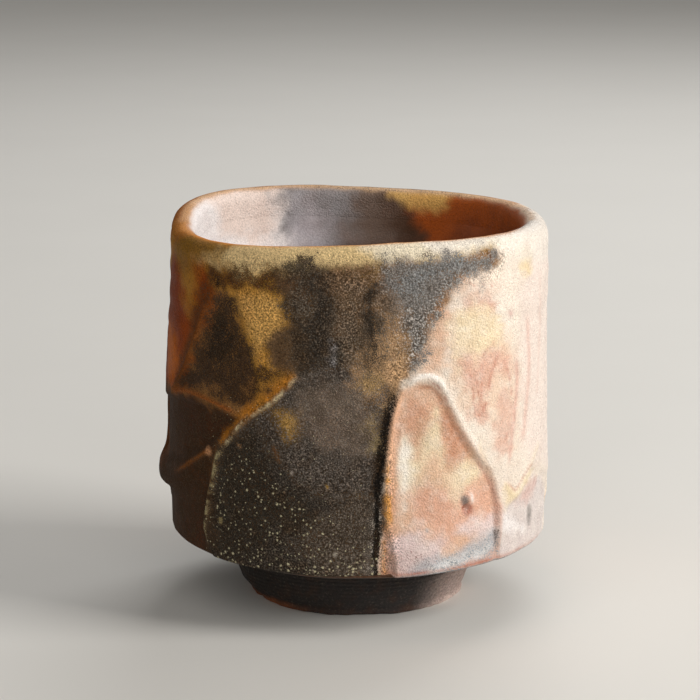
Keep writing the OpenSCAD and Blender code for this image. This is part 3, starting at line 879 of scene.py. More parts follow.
# Warm colours of the clay and the ash under the smoke, with two painted highlights: the back, then
# left to right
WARM_MARKS = (
    Stain("back rust", ((100, 6), (100, 90), (180, 90), (250, 90), (262, 60), (262, 6)), "8f5220",
          1, 5, 2),
    Stain("back ochre", ((136, 50), (130, 66), (140, 84), (170, 86), (206, 80), (222, 62),
          (206, 52), (196, 58), (180, 62), (160, 60)), "b58a46", 0.9, 4, 3),
    Stain("back rust drip", ((196, 90), (214, 90), (212, 74), (206, 64), (200, 72)), "8c4a10", 0.8,
          2.4, 1.8),
    Stain("back peach", ((96, 6), (92, 24), (100, 40), (96, 60), (106, 84), (132, 84), (128, 66),
          (138, 52), (136, 38), (143, 6)), "d3a284", 0.9, 4, 3),
    Stain("back fringe", ((104, 90), (100, 70), (106, 56), (94, 46), (100, 32), (92, 20), (94, 6),
          (104, 6), (104, 30), (110, 50), (112, 70), (122, 90)), "d08a56", 0.75, 3, 2.2),
    Stain("back cream", ((112, 26), (118, 40), (130, 40), (134, 26), (126, 18)), "ead6b8", 0.75, 3,
          2.4),
    Stain("back salmon", ((108, 62), (116, 70), (124, 66), (120, 56), (112, 54)), "cd9380", 0.6,
          2.4, 2),
    Stain("back warm arch", ((188, 8), (188, 28), (193, 43), (204, 50), (216, 47), (227, 37),
          (233, 25), (235, 8)), "c08a58", 0.9, 1.4, 1),
    Stain("back warm cream", ((194, 22), (198, 38), (206, 42), (212, 34), (208, 22)), "dcc39a",
          0.8, 3, 2.4),
    Stain("back warm rust", ((214, 10), (216, 34), (226, 32), (230, 10)), "9a5a2c", 0.7, 3, 2),
    Stain("left rust", ((-120, 90), (-38, 90), (-40, 74), (-44, 68), (-48, 62), (-54, 55),
          (-62, 49), (-120, 46)), "8a3c02", 1, 2.5, 1.4),
    Stain("deep rust", ((-120, 90), (-66, 90), (-60, 72), (-58, 60), (-66, 50), (-120, 46)),
          "7a3003", 0.85, 3, 2),
    Stain("rust glow", ((-76, 61), (-64, 60), (-59, 55), (-62, 51), (-76, 50)), "c2660f", 0.8, 3,
          1.6),
    Stain("mustard lip", ((-84, 76), (-72, 74), (-62, 78), (-50, 76), (-42, 77), (-36, 90),
          (-84, 90)), "a97614", 0.95, 2, 1.4),
    Stain("rust column", ((-51, 84), (-45, 84), (-45, 77), (-48, 72), (-51, 74)), "8c4a10", 0.8,
          1.4, 1),
    Stain("mustard patch", ((-57, 74), (-50, 74), (-50, 68), (-56, 67)), "a8782a", 0.8, 2.4, 1.4),
    Stain("ochre field", ((-44, 90), (-44, 78), (-43, 73), (-38, 71.4), (-35.6, 67), (-32.6, 62),
          (-30, 56), (-27, 52), (-22, 55), (-14, 60), (-14, 90)), "a97b36", 1, 1.6, 1),
    Stain("ochre heart", ((-34, 71), (-21, 72), (-20, 64), (-25, 58), (-27, 58), (-30, 63)),
          "c69b5a", 0.75, 2, 1.4),
    Stain("ochre tongue", ((-26, 61), (-24.8, 60), (-24.6, 56), (-26.4, 55.4), (-28, 58)),
          "c08a3a", 0.8, 1.2, 1),
    Stain("brown cloud", ((-45, 77.4), (-33, 77), (-30, 74.6), (-38, 73), (-45, 74.4)), "7a4c1a",
          0.75, 1.6, 1.2),
    Stain("slope brown", ((-42, 72), (-46, 71), (-54, 62), (-61, 53), (-66, 48), (-60, 48),
          (-52, 57), (-46, 66)), "6b3c14", 0.8, 1.6, 1.2),
    Stain("left brown", ((-120, 47), (-63.8, 47.4), (-56, 48.4), (-47.3, 48), (-33.5, 46.2),
          (-41.5, 38.6), (-46.7, 27.3), (-49.7, 8), (-125, 6)), "553212", 1, 1.6, 1.1),
    Stain("band red", ((-38, 45.6), (-50, 46.6), (-60, 45.6), (-62, 40), (-50, 39), (-42, 41)),
          "4f2612", 0.6, 2, 1.2),
    Stain("panel rust", ((-58, 22), (-51, 23), (-49.6, 18), (-51, 14), (-62, 15)), "673a22", 0.7,
          2, 1.5),
    Stain("centre warm", ((-22, 80), (18, 80), (16, 58), (11, 50), (8.6, 40), (8.1, 6), (-49, 6),
          (-46, 29), (-41, 38.6), (-36, 43), (-20, 54), (-24, 58), (-25, 64), (-19, 68)), "6d543a",
          1, 1.2, 0.8),
    Stain("centre haze", ((-16, 55), (2, 55), (5, 46), (2, 38), (-10, 38), (-16, 44)), "8a796a",
          0.85, 3, 2),
    Stain("shoulder warm", ((5, 70), (16, 69), (16, 58), (14, 54), (11, 50), (3, 50), (-1, 54),
          (3, 60)), "b8946e", 0.88, 3, 2),
    Stain("cream field", ((42, 90), (40, 80.5), (40.4, 77.6), (36.4, 76.4), (32, 76), (29, 74.8),
          (26, 72.8), (24.4, 70), (21, 66.4), (19.4, 63), (17, 59), (14.6, 55.4), (11.5, 51.5),
          (9.6, 47), (8.2, 40), (7.9, 6), (93, 6), (91, 20), (98, 32), (93, 46), (105, 56),
          (100, 68), (110, 78), (116, 90)), "ebddcd", 1, 1.2, 1.2),
    Stain("bloom ground", ((9, 79), (26, 80.6), (40, 80.6), (40, 77.4), (33, 76), (26, 73.4),
          (23.4, 69), (19.6, 64), (16, 58), (15, 66), (9, 70)), "9c8674", 0.85, 2, 1.4),
    Stain("orange fringe", ((15.6, 56), (19.6, 62), (21.4, 66), (23.4, 70), (26, 73), (29, 74.4),
          (28, 70), (27, 64), (25.6, 58), (21, 55.6)), "dfab86", 0.75, 3, 2.2),
    Stain("salmon brow", ((30, 71), (34, 71.4), (40.6, 70), (40, 68.2), (36, 67.6), (31, 68.6)),
          "cb8f7a", 0.75, 1.6, 1.8),
    Stain("salmon dot", ((44.6, 67.4), (46.4, 67.2), (46.6, 66), (45.4, 65.8)), "c08f88", 0.7, 0.8,
          0.5),
    Stain("field peach", ((25, 60), (30, 66), (38, 66), (46, 62), (50, 50), (48, 40), (44, 38),
          (36, 46), (29, 54)), "e6c3a6", 0.7, 4, 3),
    Stain("field cream", ((26, 66), (32, 69), (42, 66), (42, 61), (34, 59), (27, 61)), "f0dcb4",
          0.75, 2.6, 2.4),
    Stain("salmon patch", ((29.6, 58), (33, 58.6), (34.6, 56), (39.4, 60.4), (44.6, 59), (47, 56),
          (45, 53), (40, 54), (39, 48.4), (36, 45.6), (33.4, 47), (33, 52), (30, 55)), "d9a992",
          0.85, 1.6, 1.6),
    Stain("salmon cloud", ((42, 50), (46, 50), (47, 43), (45.6, 38), (42, 38), (41, 43)), "d9ae9a",
          0.75, 2, 1.8),
    Stain("salmon under brow", ((29, 74.6), (38, 76.2), (43, 74), (43, 70), (38, 71), (30, 71)),
          "e6cdba", 0.6, 2, 1.8),
    Stain("far pink", ((50, 72), (60, 80), (96, 80), (96, 30), (60, 34), (52, 50)), "ead8ce", 0.7,
          4, 2.5),
    Stain("yellow lip", ((49.6, 79.6), (54.6, 79.6), (55.4, 76), (51, 75.6)), "ead09a", 0.75, 1.6,
          1.4),
    Stain("arch peach", ARCH_OUTLINE, "dcb193", 0.97, 0.9, 0.5),
    Stain("arch cream", ((13, 42), (19, 46.4), (24, 46.6), (25, 40), (29, 37), (33, 37),
          (36, 34.6), (33, 32), (26, 33.6), (14, 31)), "ead7b4", 0.9, 2.6, 2.2),
    # A painted highlight on the rounded edge of the arch's floor, over its cream glaze
    Stain("arch white bar", ((12, 42), (14.8, 42), (15.4, 37), (14.8, 28), (13, 24), (12, 30)),
          "fbf3e6", 0.95, 2, 1.4),
    Stain("arch peach wall", ((9.6, 48), (12.4, 48), (11.8, 40), (11.2, 30), (10.6, 22), (9.2, 22),
          (8.8, 38)), "dba988", 0.8, 0.8, 0.6),
    Stain("arch salmon column", ((24.4, 47), (28.4, 43.6), (30.4, 38), (28.6, 34.6), (26, 35),
          (25, 40)), "bf8362", 0.78, 1.6, 1.3),
    Stain("arch salmon smudge", ((15, 48.6), (20, 50), (22, 47), (19, 43), (18, 38.6), (16, 39.4),
          (15, 44)), "cb9070", 0.65, 1.6, 1.3),
    Stain("arch salmon", ((15, 31), (21, 33), (27, 30), (34, 31.6), (40, 31.5), (43, 27),
          (43.5, 22), (38, 23.6), (30, 21), (24, 19.5), (16, 23)), "dba88e", 0.9, 3, 2.2),
    Stain("arch cream drip", ((27, 35), (31.4, 35), (31, 29), (29, 27), (27.6, 29.6)), "e6d0b2",
          0.7, 1.6, 1.4),
    Stain("arch salmon lick", ((19, 30), (24, 30), (24.4, 35), (22, 39), (20, 35)), "d7a487", 0.6,
          2, 1.4),
    Stain("arch orange strip", ((7.6, 37.4), (9, 37), (9.4, 31), (10, 26), (9.2, 23.6), (7.6, 24)),
          "cf9143", 0.9, 0.6, 1),
    Stain("arch low peach", ((8, 24), (12, 24), (13, 18), (11, 14.4), (8.2, 14)), "d3a88c", 0.85,
          1.6, 1.2),
    Stain("arch lilac", ((11, 21.4), (16, 24), (21, 21), (26, 20.6), (23, 15), (12, 13)), "dbc6c4",
          0.9, 2.8, 1.8),
    Stain("arch pale lilac", ((29, 22), (33, 24), (40, 23.6), (43.6, 22), (43, 19), (33, 20)),
          "e4d2cf", 0.85, 1.6, 1.3),
    Stain("hip blue", ((17, 15.6), (24, 17.6), (31, 18.2), (38, 20), (43.6, 20.8), (46, 16),
          (40, 12.6), (19, 13)), "b4b6ba", 0.85, 1.8, 1.3),
    Stain("hip pale", ((22, 15.4), (30, 16.6), (36, 16.6), (42, 18), (42, 16.8), (34, 14.6),
          (24, 13.8)), "e4e3e2", 0.75, 0.9, 0.9),
    Stain("hip salmon", ((30, 14.2), (44, 16), (60, 17.4), (60, 14), (44, 12.6), (30, 12.4)),
          "cfa999", 0.8, 0.9, 0.7),
    Stain("blister red", ((31.6, 27.8), (34.4, 27.6), (34.8, 26), (33, 25.4), (31.6, 26.2)),
          "ad6a52", 0.95, 0.6, 0.3),
    # A painted highlight on the blister's top
    Stain("blister white", ((33.6, 30), (35, 29.8), (35, 28), (33.6, 28.2)), "f7f1ec", 0.9, 0.5,
          0.3),
    Stain("blister pit", ((31, 29.4), (32.8, 29.4), (32.8, 27.8), (31.2, 27.8)), "756b66", 0.9,
          0.5, 0.2),
    Stain("blue dot", ((19.8, 23.6), (20.8, 23.5), (20.6, 22.6), (19.8, 22.8)), "8e98a2", 0.85,
          0.4, 0.2),
    Stain("right low ochre", ((46, 30.6), (50.4, 28.4), (55, 31), (62, 31.6), (58, 29), (51, 26.6),
          (47, 26.6)), "ecd6ab", 0.9, 1, 0.7),
    Stain("right lilac", ((46.8, 26), (50, 26), (58, 28), (68, 29), (78, 24), (74, 12),
          (46.8, 12)), "d5c9c5", 0.9, 1.8, 1.3),
    Stain("right salmon shade", ((52, 27.6), (60, 29.4), (66, 29), (64, 26), (55, 25.6)), "cfa79b",
          0.7, 1.6, 1.2),
    Stain("right white streak", ((46.4, 23), (50, 22.6), (58, 19.6), (58, 18), (49, 20), (46, 21)),
          "f0e9e6", 0.8, 1, 0.8),
    Stain("grey mark", ((59.6, 23), (61.6, 23), (62, 19.4), (60, 19.6)), "7e7672", 0.9, 0.9, 0.6),
    Stain("lip tan", ((-50, 78), (-40, 77.4), (-32, 75.8), (-24, 77), (-19, 78.6), (-10, 78.4),
          (0, 78), (10, 79.2), (24, 80.2), (40, 81), (60, 90), (-54, 90)), "dcc08c", 0.95, 1.6,
          1.2),
    Stain("lip cream", ((6, 79.8), (24, 80.4), (38, 81), (60, 90), (0, 90)), "efe3ca", 0.9, 1.6,
          1),
    Stain("lip white", ((24, 80.4), (40, 80.6), (60, 76), (110, 76), (110, 90), (24, 90)),
          "ede4d8", 0.8, 1.4, 1),
    Stain("lip mustard", ((-62, 74), (-48, 77), (-40, 79.6), (-34, 90), (-70, 90)), "865e1c", 0.95,
          2.4, 1.4),
    Stain("lip rust", ((-130, 79), (-66, 79), (-60, 90), (-130, 90)), "a96414", 0.8, 1.6, 1.2),
)

# Smoke and charcoal over them, with painted shadows beside the knife steps and painted shade low
# on the left
SMOKE_MARKS = (
    Stain("back smoke", ((148, 90), (192, 88), (204, 70), (196, 56), (184, 60), (186, 6), (143, 6),
          (146, 50), (140, 70)), "352c25", 0.66, 6, 3.4),
    Stain("back arch smoke", ((143, 8), (143, 26), (148, 44), (158, 54), (170, 57), (181, 52),
          (185, 38), (186, 8)), "2f2822", 0.88, 1.4, 1),
    Stain("back bloom", ((150, 86), (176, 84), (186, 76), (178, 66), (160, 68), (152, 74)),
          "6f665d", 0.7, 4, 3),
    Stain("back haze", ((150, 46), (166, 50), (178, 44), (170, 34), (156, 34)), "6d6255", 0.8, 3,
          2.4),
    # A painted shadow beside the back arch's knife step
    Stain("back step shade", ((183, 8), (187, 8), (187.6, 30), (186.6, 44), (183, 52), (182, 44),
          (183.4, 30)), "0f0b08", 0.95, 0.9, 0.5),
    Stain("back left smoke", ((234, 6), (236, 28), (228, 40), (216, 51), (222, 58), (240, 50),
          (262, 46), (262, 6)), "2a1a10", 0.78, 2.6, 2),
    Stain("veil", ((-20, 77.8), (-14, 78.8), (-9, 77.6), (-3, 77.6), (4, 78.8), (9, 79.2), (9, 60),
          (3, 50), (0, 46), (-12, 47), (-17.4, 53.4), (-19, 56), (-20, 60), (-19.4, 64.6),
          (-18.4, 66.6), (-19, 71), (-20.4, 74)), "3a332b", 0.9, 2.2, 1.6),
    Stain("brow smoke", ((-8, 77), (7, 78.6), (9, 72), (2, 66), (-6, 68)), "6b5036", 0.7, 2.8,
          1.8),
    Stain("bloom feather", ((-4, 76.4), (12, 78.6), (24, 79), (20, 66), (14, 58), (6, 66),
          (-2, 70)), "5f5348", 0.62, 4.5, 3),
    Stain("bloom", ((10, 78.6), (18, 79.2), (26, 79.8), (39.4, 80.3), (40.2, 77.8), (36.4, 76.4),
          (32, 76), (29, 74.8), (26, 72.8), (24.4, 70), (21, 66.4), (19.4, 63), (17, 58.6),
          (15, 57), (14, 62), (12, 68), (8, 73)), "75716d", 0.84, 2.4, 2),
    Stain("bloom drips", ((34.4, 77), (36, 77), (35.8, 73.4), (35, 72.4), (34.6, 74)), "8a807a",
          0.4, 0.8, 0.8),
    Stain("bloom deep", ((27, 79.6), (38, 80), (38, 78.4), (31, 77), (24, 76.4), (20, 74),
          (14, 72), (13, 75), (18, 78)), "737372", 0.86, 2, 1.8),
    Stain("black heart", ((1.4, 74), (5.4, 74), (6.6, 67), (5.4, 61), (3, 56.6), (0.6, 60),
          (1.2, 67)), "1c1813", 0.85, 2, 2),
    Stain("veil core", ((-14, 75), (-8, 76), (-6, 66), (-8, 55), (-14, 56.6)), "2c2620", 0.85, 2.8,
          2.2),
    Stain("veil ash", ((-20, 76), (-15, 77), (-13, 70), (-16, 67), (-20, 70)), "4d443a", 0.7, 2.2,
          1.8),
    Stain("centre light", ((-3.6, 72), (1, 71), (1, 57), (-3.6, 56)), "5a4d40", 0.8, 2.2, 1.8),
    Stain("silver fleck", ((-8.4, 57), (-8.2, 61), (-5.6, 61.8), (-6.2, 57)), "77777a", 0.85, 1.2,
          1),
    Stain("triangle", ((-38.6, 72.2), (-43, 69), (-48, 63), (-52, 58), (-57, 53.4), (-60, 50.6),
          (-52, 50), (-42, 49.4), (-34, 49.6), (-29.6, 51), (-27.6, 53.4), (-28.4, 56.4),
          (-30.6, 60.4), (-33, 65.4), (-35.6, 70.4)), "35261a", 0.76, 2.6, 1.8),
    Stain("triangle heart", ((-39, 69), (-46, 62), (-47, 56), (-38, 56), (-34, 61)), "241b12",
          0.82, 2.4, 2),
    Stain("centre arch smoke", CENTRE_OUTLINE, "48413b", 0.85, 1, 0.5),
    Stain("arch low smoke", ((-49, 10), (-45, 33), (-40, 40), (-28, 45), (-24, 41), (-18, 34),
          (-2, 31), (6, 30), (7, 10)), "332d27", 0.92, 2.4, 1.4),
    # Painted shade, darkening the low left of the cut over its smoke
    Stain("low shadow", ((-50, 12), (-46, 30), (-40, 40), (-30, 43), (-24, 36), (-14, 30),
          (-12, 24), (-26, 22), (-36, 14)), "221e18", 0.75, 4, 3),
    Stain("low haze", ((-16, 22), (-8, 28), (5, 30), (6, 12), (-12, 12)), "4a423a", 0.7, 3.4, 2.4),
    Stain("left smoke", ((-33.5, 46), (-47.3, 48), (-61.8, 47.6), (-100, 44), (-110, 6),
          (-49.9, 6), (-46.6, 27), (-41.5, 38.4)), "2f2013", 0.58, 1.8, 1.4),
    Stain("speckle band", ((-44, 76), (-34, 77), (-22, 78), (-19, 74), (-22, 72.4), (-34, 73),
          (-43, 73)), "40260f", 0.66, 1.6, 1.6),
    Stain("speckle edge", ((-23, 75), (-18, 75), (-17, 56), (-25, 56.6), (-24, 63), (-20.6, 66)),
          "38291a", 0.44, 2.4, 2),
    Stain("dark dot", ((-42, 74.4), (-40, 74.6), (-39.8, 73), (-41.4, 72.6)), "20150c", 0.9, 0.7,
          0.5),
    Stain("rim specks", ((-46, 78.6), (-20, 79.4), (6, 79.6), (22, 80.2), (22, 79.4), (6, 78.2),
          (-20, 77.4), (-44, 76)), "6e5b3c", 0.07, 1.4, 1.4),
    Stain("tan specks", ((-40, 78), (-20, 78.6), (-20, 77), (-32, 75.6), (-40, 76.4)), "6a5a3a",
          0.12, 1.6, 1.4),
    Stain("slope specks", ((-42, 74), (-48, 72), (-56, 60), (-62, 52), (-58, 51), (-49, 62)),
          "3b2512", 0.42, 2, 1.4),
    Stain("fleck specks", ((-33, 51), (-28, 57), (-25, 57), (-18, 56.4), (-22, 53), (-28, 50)),
          "35220f", 0.62, 1.4, 1.4),
    # A near-black painted shadow that the knife step casts on the centre cut
    Stain("step shade", ((4.6, 8), (7.2, 8), (7.1, 30), (7.9, 39), (9.3, 46), (11, 51.4),
          (9.2, 52), (7, 47), (5.6, 41), (4.6, 34), (4.4, 24)), "0f0b08", 0.99, 0.8, 0.4),
    Stain("back right smoke", ((104, 6), (100, 22), (118, 26), (138, 20), (140, 6)), "5e4c40",
          0.55, 3, 2),
)

# Places that the smoke passed by, and the right arch, which it left clean
CLEAR_MARKS = (
    Stain("centre haze gap", ((-15, 54), (3, 54), (4, 46), (2, 40), (-8, 39), (-15, 43)), "", 0.46,
          3, 2),
    Stain("arch shoulder", ((0, 57), (4, 62), (9, 66), (14, 65), (15, 58), (12.6, 53), (8, 50),
          (3, 51)), "", 0.43, 2.6, 2.2),
    Stain("lip gap", ((0, 77.4), (0, 80), (7, 80), (7, 77.4), (2, 75)), "", 0.3, 1.8, 1.6),
    Stain("arch clean clay", ARCH_OUTLINE, "", 0.98, 0.5, 0.3),
)

# Smoke that lies on the clean arch and along its foot
LATE_SMOKE = (
    Stain("foot of arch ridge", ((43.5, 20.4), (44.3, 20.4), (44.5, 15.6), (43.8, 15.6)), "6b5a52",
          0.55, 0.4, 0.4),
    Stain("hip specks", ((16, 15.6), (30, 17.4), (42, 19.4), (46, 16), (38, 13.4), (16, 13)),
          "7b868e", 0.27, 1.6, 1.3),
    Stain("arch lilac specks", ((10, 20), (18, 19.6), (22, 14), (10, 14)), "8d6f6c", 0.2, 1.6,
          1.2),
)

STAINS = (
    *WARM_MARKS,
    *in_layer(Layer.SOOT, SMOKE_MARKS),
    *in_layer(Layer.BARE, CLEAR_MARKS),
    *in_layer(Layer.SOOT, LATE_SMOKE),
)

# Flashes of bare warm ash that lie over the smoke
FLASHES = (
    Stain("ridge ochre", ((-18.6, 55.2), (-22, 52), (-26, 49.6), (-30.4, 47.4), (-34, 45.2),
          (-38, 41.8), (-40.4, 40.4), (-38.8, 42.8), (-34, 46.6), (-30, 49), (-25.6, 51.8),
          (-21, 55)), "b8741f", 0.85, 1.1, 0.8),
    Stain("ridge ochre point", ((-27, 53), (-21, 56.4), (-19, 56), (-22, 53.4), (-28, 50.4)),
          "a8742c", 0.45, 1.4, 1.2),
    Stain("ochre fleck", ((-22.8, 47.4), (-20, 47.4), (-18.2, 45), (-18.6, 42.8), (-20.4, 42),
          (-21.6, 44.6)), "d3a75c", 0.8, 1.8, 1.1),
    Stain("ochre fleck haze", ((-27.6, 49.4), (-21, 50), (-16.4, 46), (-17.6, 42), (-22, 42.4),
          (-25, 46)), "85612c", 0.45, 2.2, 1.8),
    Stain("pale fleck", ((2.4, 42), (3.6, 48), (6.2, 48), (6.6, 43), (4.6, 40)), "a8966e", 0.62,
          1.8, 1.2),
    Stain("brow fleck", ((-1, 77), (5, 78), (5, 75.6), (1, 74.6)), "a88452", 0.4, 1.4, 1.2),
    Stain("shoulder fleck", ((1, 55), (6, 55.6), (6, 52.6), (2, 52)), "a68a52", 0.45, 1.4, 1.2),
    Stain("knob", ((-46.8, 38.6), (-44.6, 38.8), (-44.2, 37.2), (-46.4, 36.8)), "c39068", 0.9, 0.5,
          0.3),
    Stain("ochre dot", ((-9.2, 33), (-8.2, 32.9), (-8.2, 31.9), (-9.2, 32)), "b8903f", 0.9, 0.4,
          0.2),
    Stain("brown dot", ((-35.2, 40.4), (-33.8, 40.4), (-33.8, 39.4), (-35.2, 39.4)), "a07a58", 0.8,
          0.4, 0.2),
    Stain("white dot", ((-19, 35.8), (-18.4, 35.8), (-18.6, 35), (-19.2, 35)), "cfc9c2", 0.8, 0.3,
          0.2),
    Stain("cream bead", ((-42.8, 23.6), (-41.6, 23.8), (-41.8, 22.4), (-43, 22.4)), "a89a6c", 0.8,
          0.4, 0.2),
    Stain("pale scratch", ((-7.2, 18.4), (-6.2, 18.8), (-5.6, 18.4), (-6.6, 17.8)), "b9b3a8", 0.7,
          0.4, 0.3),
    Stain("fold ember", ((-104, 37), (-92, 41), (-80, 38), (-76, 33), (-86, 29), (-100, 30)),
          "7d4418", 0.5, 3, 2.6),
    Stain("panel ember", ((-112, 20), (-98, 24), (-86, 20), (-92, 11), (-110, 10)), "6b4526", 0.5,
          3.4, 2.6),
    Stain("panel ash", ((-124, 30), (-112, 40), (-104, 30), (-112, 22)), "6e6048", 0.4, 3, 2.6),
)

# Pale grains of the coarse clay that melted through, and how far the skin melted
GRAINS = (
    Stain("low grog", ((-50, 8), (-46, 30), (-38, 38), (-26, 38), (-17, 32), (-6, 24), (7, 22),
          (7, 8)), "", 1.1, 3, 1, Layer.GROG),
    Stain("hip grog", ((-42, 18), (-10, 17), (6, 16.6), (6, 12), (-42, 12)), "", 1.5, 1.6, 0.6,
          Layer.GROG),
    Stain("centre grog", ((-40, 50), (4, 50), (4, 30), (-40, 30)), "", 0.4, 4, 1, Layer.GROG),
    Stain("back grog", ((150, 8), (152, 40), (180, 44), (184, 8)), "", 0.8, 3, 1, Layer.GROG),
    Stain("satin field", ((8.6, 6), (9, 50), (17, 58), (23, 69), (28, 74), (42, 76), (42, 90),
          (110, 90), (110, 6)), "", 0.85, 2, 1, Layer.GLOSS),
    Stain("dry centre", ((-34, 77), (-18, 78), (8, 78), (24, 79.2), (40, 79.6), (40, 76.4),
          (28, 74), (23, 69), (16, 57), (8.4, 47), (8, 6), (-49, 6), (-45, 30), (-34, 45),
          (-18, 54), (-28, 56)), "", 0.85, 1.4, 1, Layer.DRY),
    Stain("bloom melt", ((10, 79.6), (40, 81), (40, 76.4), (28, 74.6), (20, 70), (10, 70)), "",
          0.5, 2.4, 1, Layer.GLOSS),
    Stain("satin left", ((-110, 90), (-52, 90), (-50, 60), (-64, 49), (-110, 47)), "", 0.6, 3, 1,
          Layer.GLOSS),
    Stain("satin lip", ((-180, 79.4), (-180, 90), (0, 90), (180, 90), (180, 79.4), (0, 79.4)), "",
          0.58, 1.4, 0.8, Layer.GLOSS),
)

# The inside: rust on the right, grey behind, white on the left; the white is partly painted light,
# the dark behind and low down partly painted shade
INSIDE_STAINS = (
    Stain("inside satin", ((-180, -40), (-180, 90), (0, 90), (180, 90), (180, -40)), "", 0.72, 3,
          1, Layer.GLOSS),
    Stain("inside rust", ((50, 10), (50, 90), (166, 90), (166, 10)), "a84f0c", 1, 3, 2),
    # Partly painted shade, where the right wall shades the inside behind
    Stain("inside dark", ((150, 10), (154, 70), (162, 78), (164, 90), (180, 90), (190, 70),
          (206, 10)), "46301f", 0.97, 2.6, 1.8),
    Stain("inside brown grey", ((168, 10), (170, 90), (200, 90), (200, 10)), "6f5d52", 0.85, 5, 2),
    Stain("inside grey", ((186, 10), (184, 72), (180, 90), (217, 90), (218, 74), (212, 60),
          (208, 10)), "8a8687", 0.95, 4.4, 2),
    Stain("inside lilac", ((188, 10), (190, 66), (196, 78), (204, 76), (210, 62), (212, 10)),
          "b5afb4", 0.85, 3.4, 2.2),
    # Partly painted light, where the lamp falls on the inside's left wall
    Stain("inside white", ((213.6, 10), (214, 90), (300, 90), (300, 10)), "efe8e6", 1, 3.2, 2.2),
    Stain("inside blush", ((212, 72), (214, 90), (242, 90), (236, 76)), "e3cabb", 0.7, 3, 2.2),
    Stain("inside front", ((-64, 10), (-64, 90), (64, 90), (64, 10)), "9b8170", 0.9, 5, 3),
    Stain("ochre drip", ((148, 79), (148, 90), (172, 90), (168, 80), (158, 77.6)), "dcae60", 0.85,
          1.4, 1),
    Stain("rust clouds", ((80, 40), (90, 70), (120, 76), (146, 72), (156, 40)), "74340c", 0.7, 4,
          3),
    # Painted shade, darker low down in the cup
    Stain("inside low dark", ((60, 10), (70, 50), (120, 58), (160, 66), (200, 56), (214, 10)),
          "3a2a22", 0.5, 9, 3),
    Stain("floor pool", ((-180, -40), (-180, 24), (0, 24), (180, 24), (180, -40)), "6e6054", 0.92,
          6, 2),
)

# Colours that run along the crest of the lip only
LIP_LINE = (
    Stain("crest orange front", ((-64, 70), (-64, 90), (44, 90), (44, 70)), "cf8024", 1, 3, 1),
    Stain("crest peach back", ((96, 70), (96, 90), (262, 90), (262, 70)), "dbb590", 0.9, 3, 1),
    Stain("crest rust left", ((-104, 70), (-104, 90), (-62, 90), (-62, 70)), "b98248", 0.7, 3, 1),
)

PAINTED = ("flash", "soot", "grog", "gloss")  # layers of a coat that its glaze reads
START_GLOSS = 0.35


@dataclass
class Coat:
    """Colours and values that the marks leave on a coat, built up in order."""

    sheet: Sheet
    ground: str
    flash: Array = field(init=False)
    soot: Array = field(init=False)
    grog: Array = field(init=False)
    gloss: Array = field(init=False)

    def __post_init__(self) -> None:
        """Start from an even ground colour with no marks."""
        count = len(self.sheet.angle)
        self.flash = np.tile(np.array([*linear(self.ground), 1.0]), (count, 1))
        self.soot = np.tile(np.array([0.02, 0.015, 0.01, 0.0]), (count, 1))
        self.grog = np.zeros(count)
        self.gloss = np.full(count, START_GLOSS)

    @staticmethod
    def tint(layer: Array, code: str, share: Array) -> None:
        """Move a layer's colours towards a tint.

        Args:
            layer: the layer's colours by row, changed in place.
            code: the tint as a hex colour.
            share: how far they move.
        """
        layer[:, :3] += (np.array(linear(code)) - layer[:, :3]) * share[:, None]

    def add(self, stain: Stain) -> None:
        """Lay one mark over what is there.

        Args:
            stain: the mark.
        """
        share = stain.share(self.sheet)
        if stain.layer is Layer.FLASH:
            self.tint(self.flash, stain.tint, share)
        elif stain.layer is Layer.BARE:
            self.soot[:, 3] *= 1 - share
        elif stain.layer is Layer.SOOT:
            mixed = share / np.maximum(share + self.soot[:, 3] * (1 - share), 1e-6)
            self.tint(self.soot, stain.tint, mixed)
            self.soot[:, 3] = np.maximum(self.soot[:, 3] * (1 - share * 0.3), share)
        elif stain.layer is Layer.GROG:
            self.grog = np.maximum(self.grog, share)
        elif stain.layer is Layer.GLOSS:
            self.gloss = np.maximum(self.gloss, share)
        else:
            self.gloss *= 1 - share

    def flash_over(self, code: str, share: Array, clearing: float) -> None:
        """Lay a warm tint over the ground and clear the smoke from it.

        Args:
            code: the tint as a hex colour.
            share: how strongly it shows at each place.
            clearing: how much of the smoke it clears.
        """
        self.tint(self.flash, code, share)
        self.soot[:, 3] *= 1 - clearing * share

    def wear(self, ridge: Ridge) -> None:
        """Let the thin glaze on a ridge show its own tint; on a few lines the tint is painted
        highlight or painted shade.

        Args:
            ridge: the raised line.
        """
        share = ridge.near(self.sheet) * ridge.bite
        if ridge.dotted:
            share = share * ease(-0.5, 0.4, lumps(self.sheet.points, 0.9, 47))
        self.flash_over(ridge.tint, share, 1.0)

    def blend(self, other: "Coat", share: Array) -> None:
        """Turn this coat into another one over a share of each vertex.

        Args:
            other: the other coat.
            share: how much of the other coat.
        """
        for name in PAINTED:
            first, second = getattr(self, name), getattr(other, name)
            part = share[:, None] if first.ndim == 2 else share
            setattr(self, name, first + (second - first) * part)

    def store(self, piece: bpy.types.Object) -> None:
        """Put every layer on the piece as an attribute."""
        for name in PAINTED:
            paint(piece, name, getattr(self, name))


Socket = bpy.types.NodeSocket
AddNode = Callable[..., Socket]


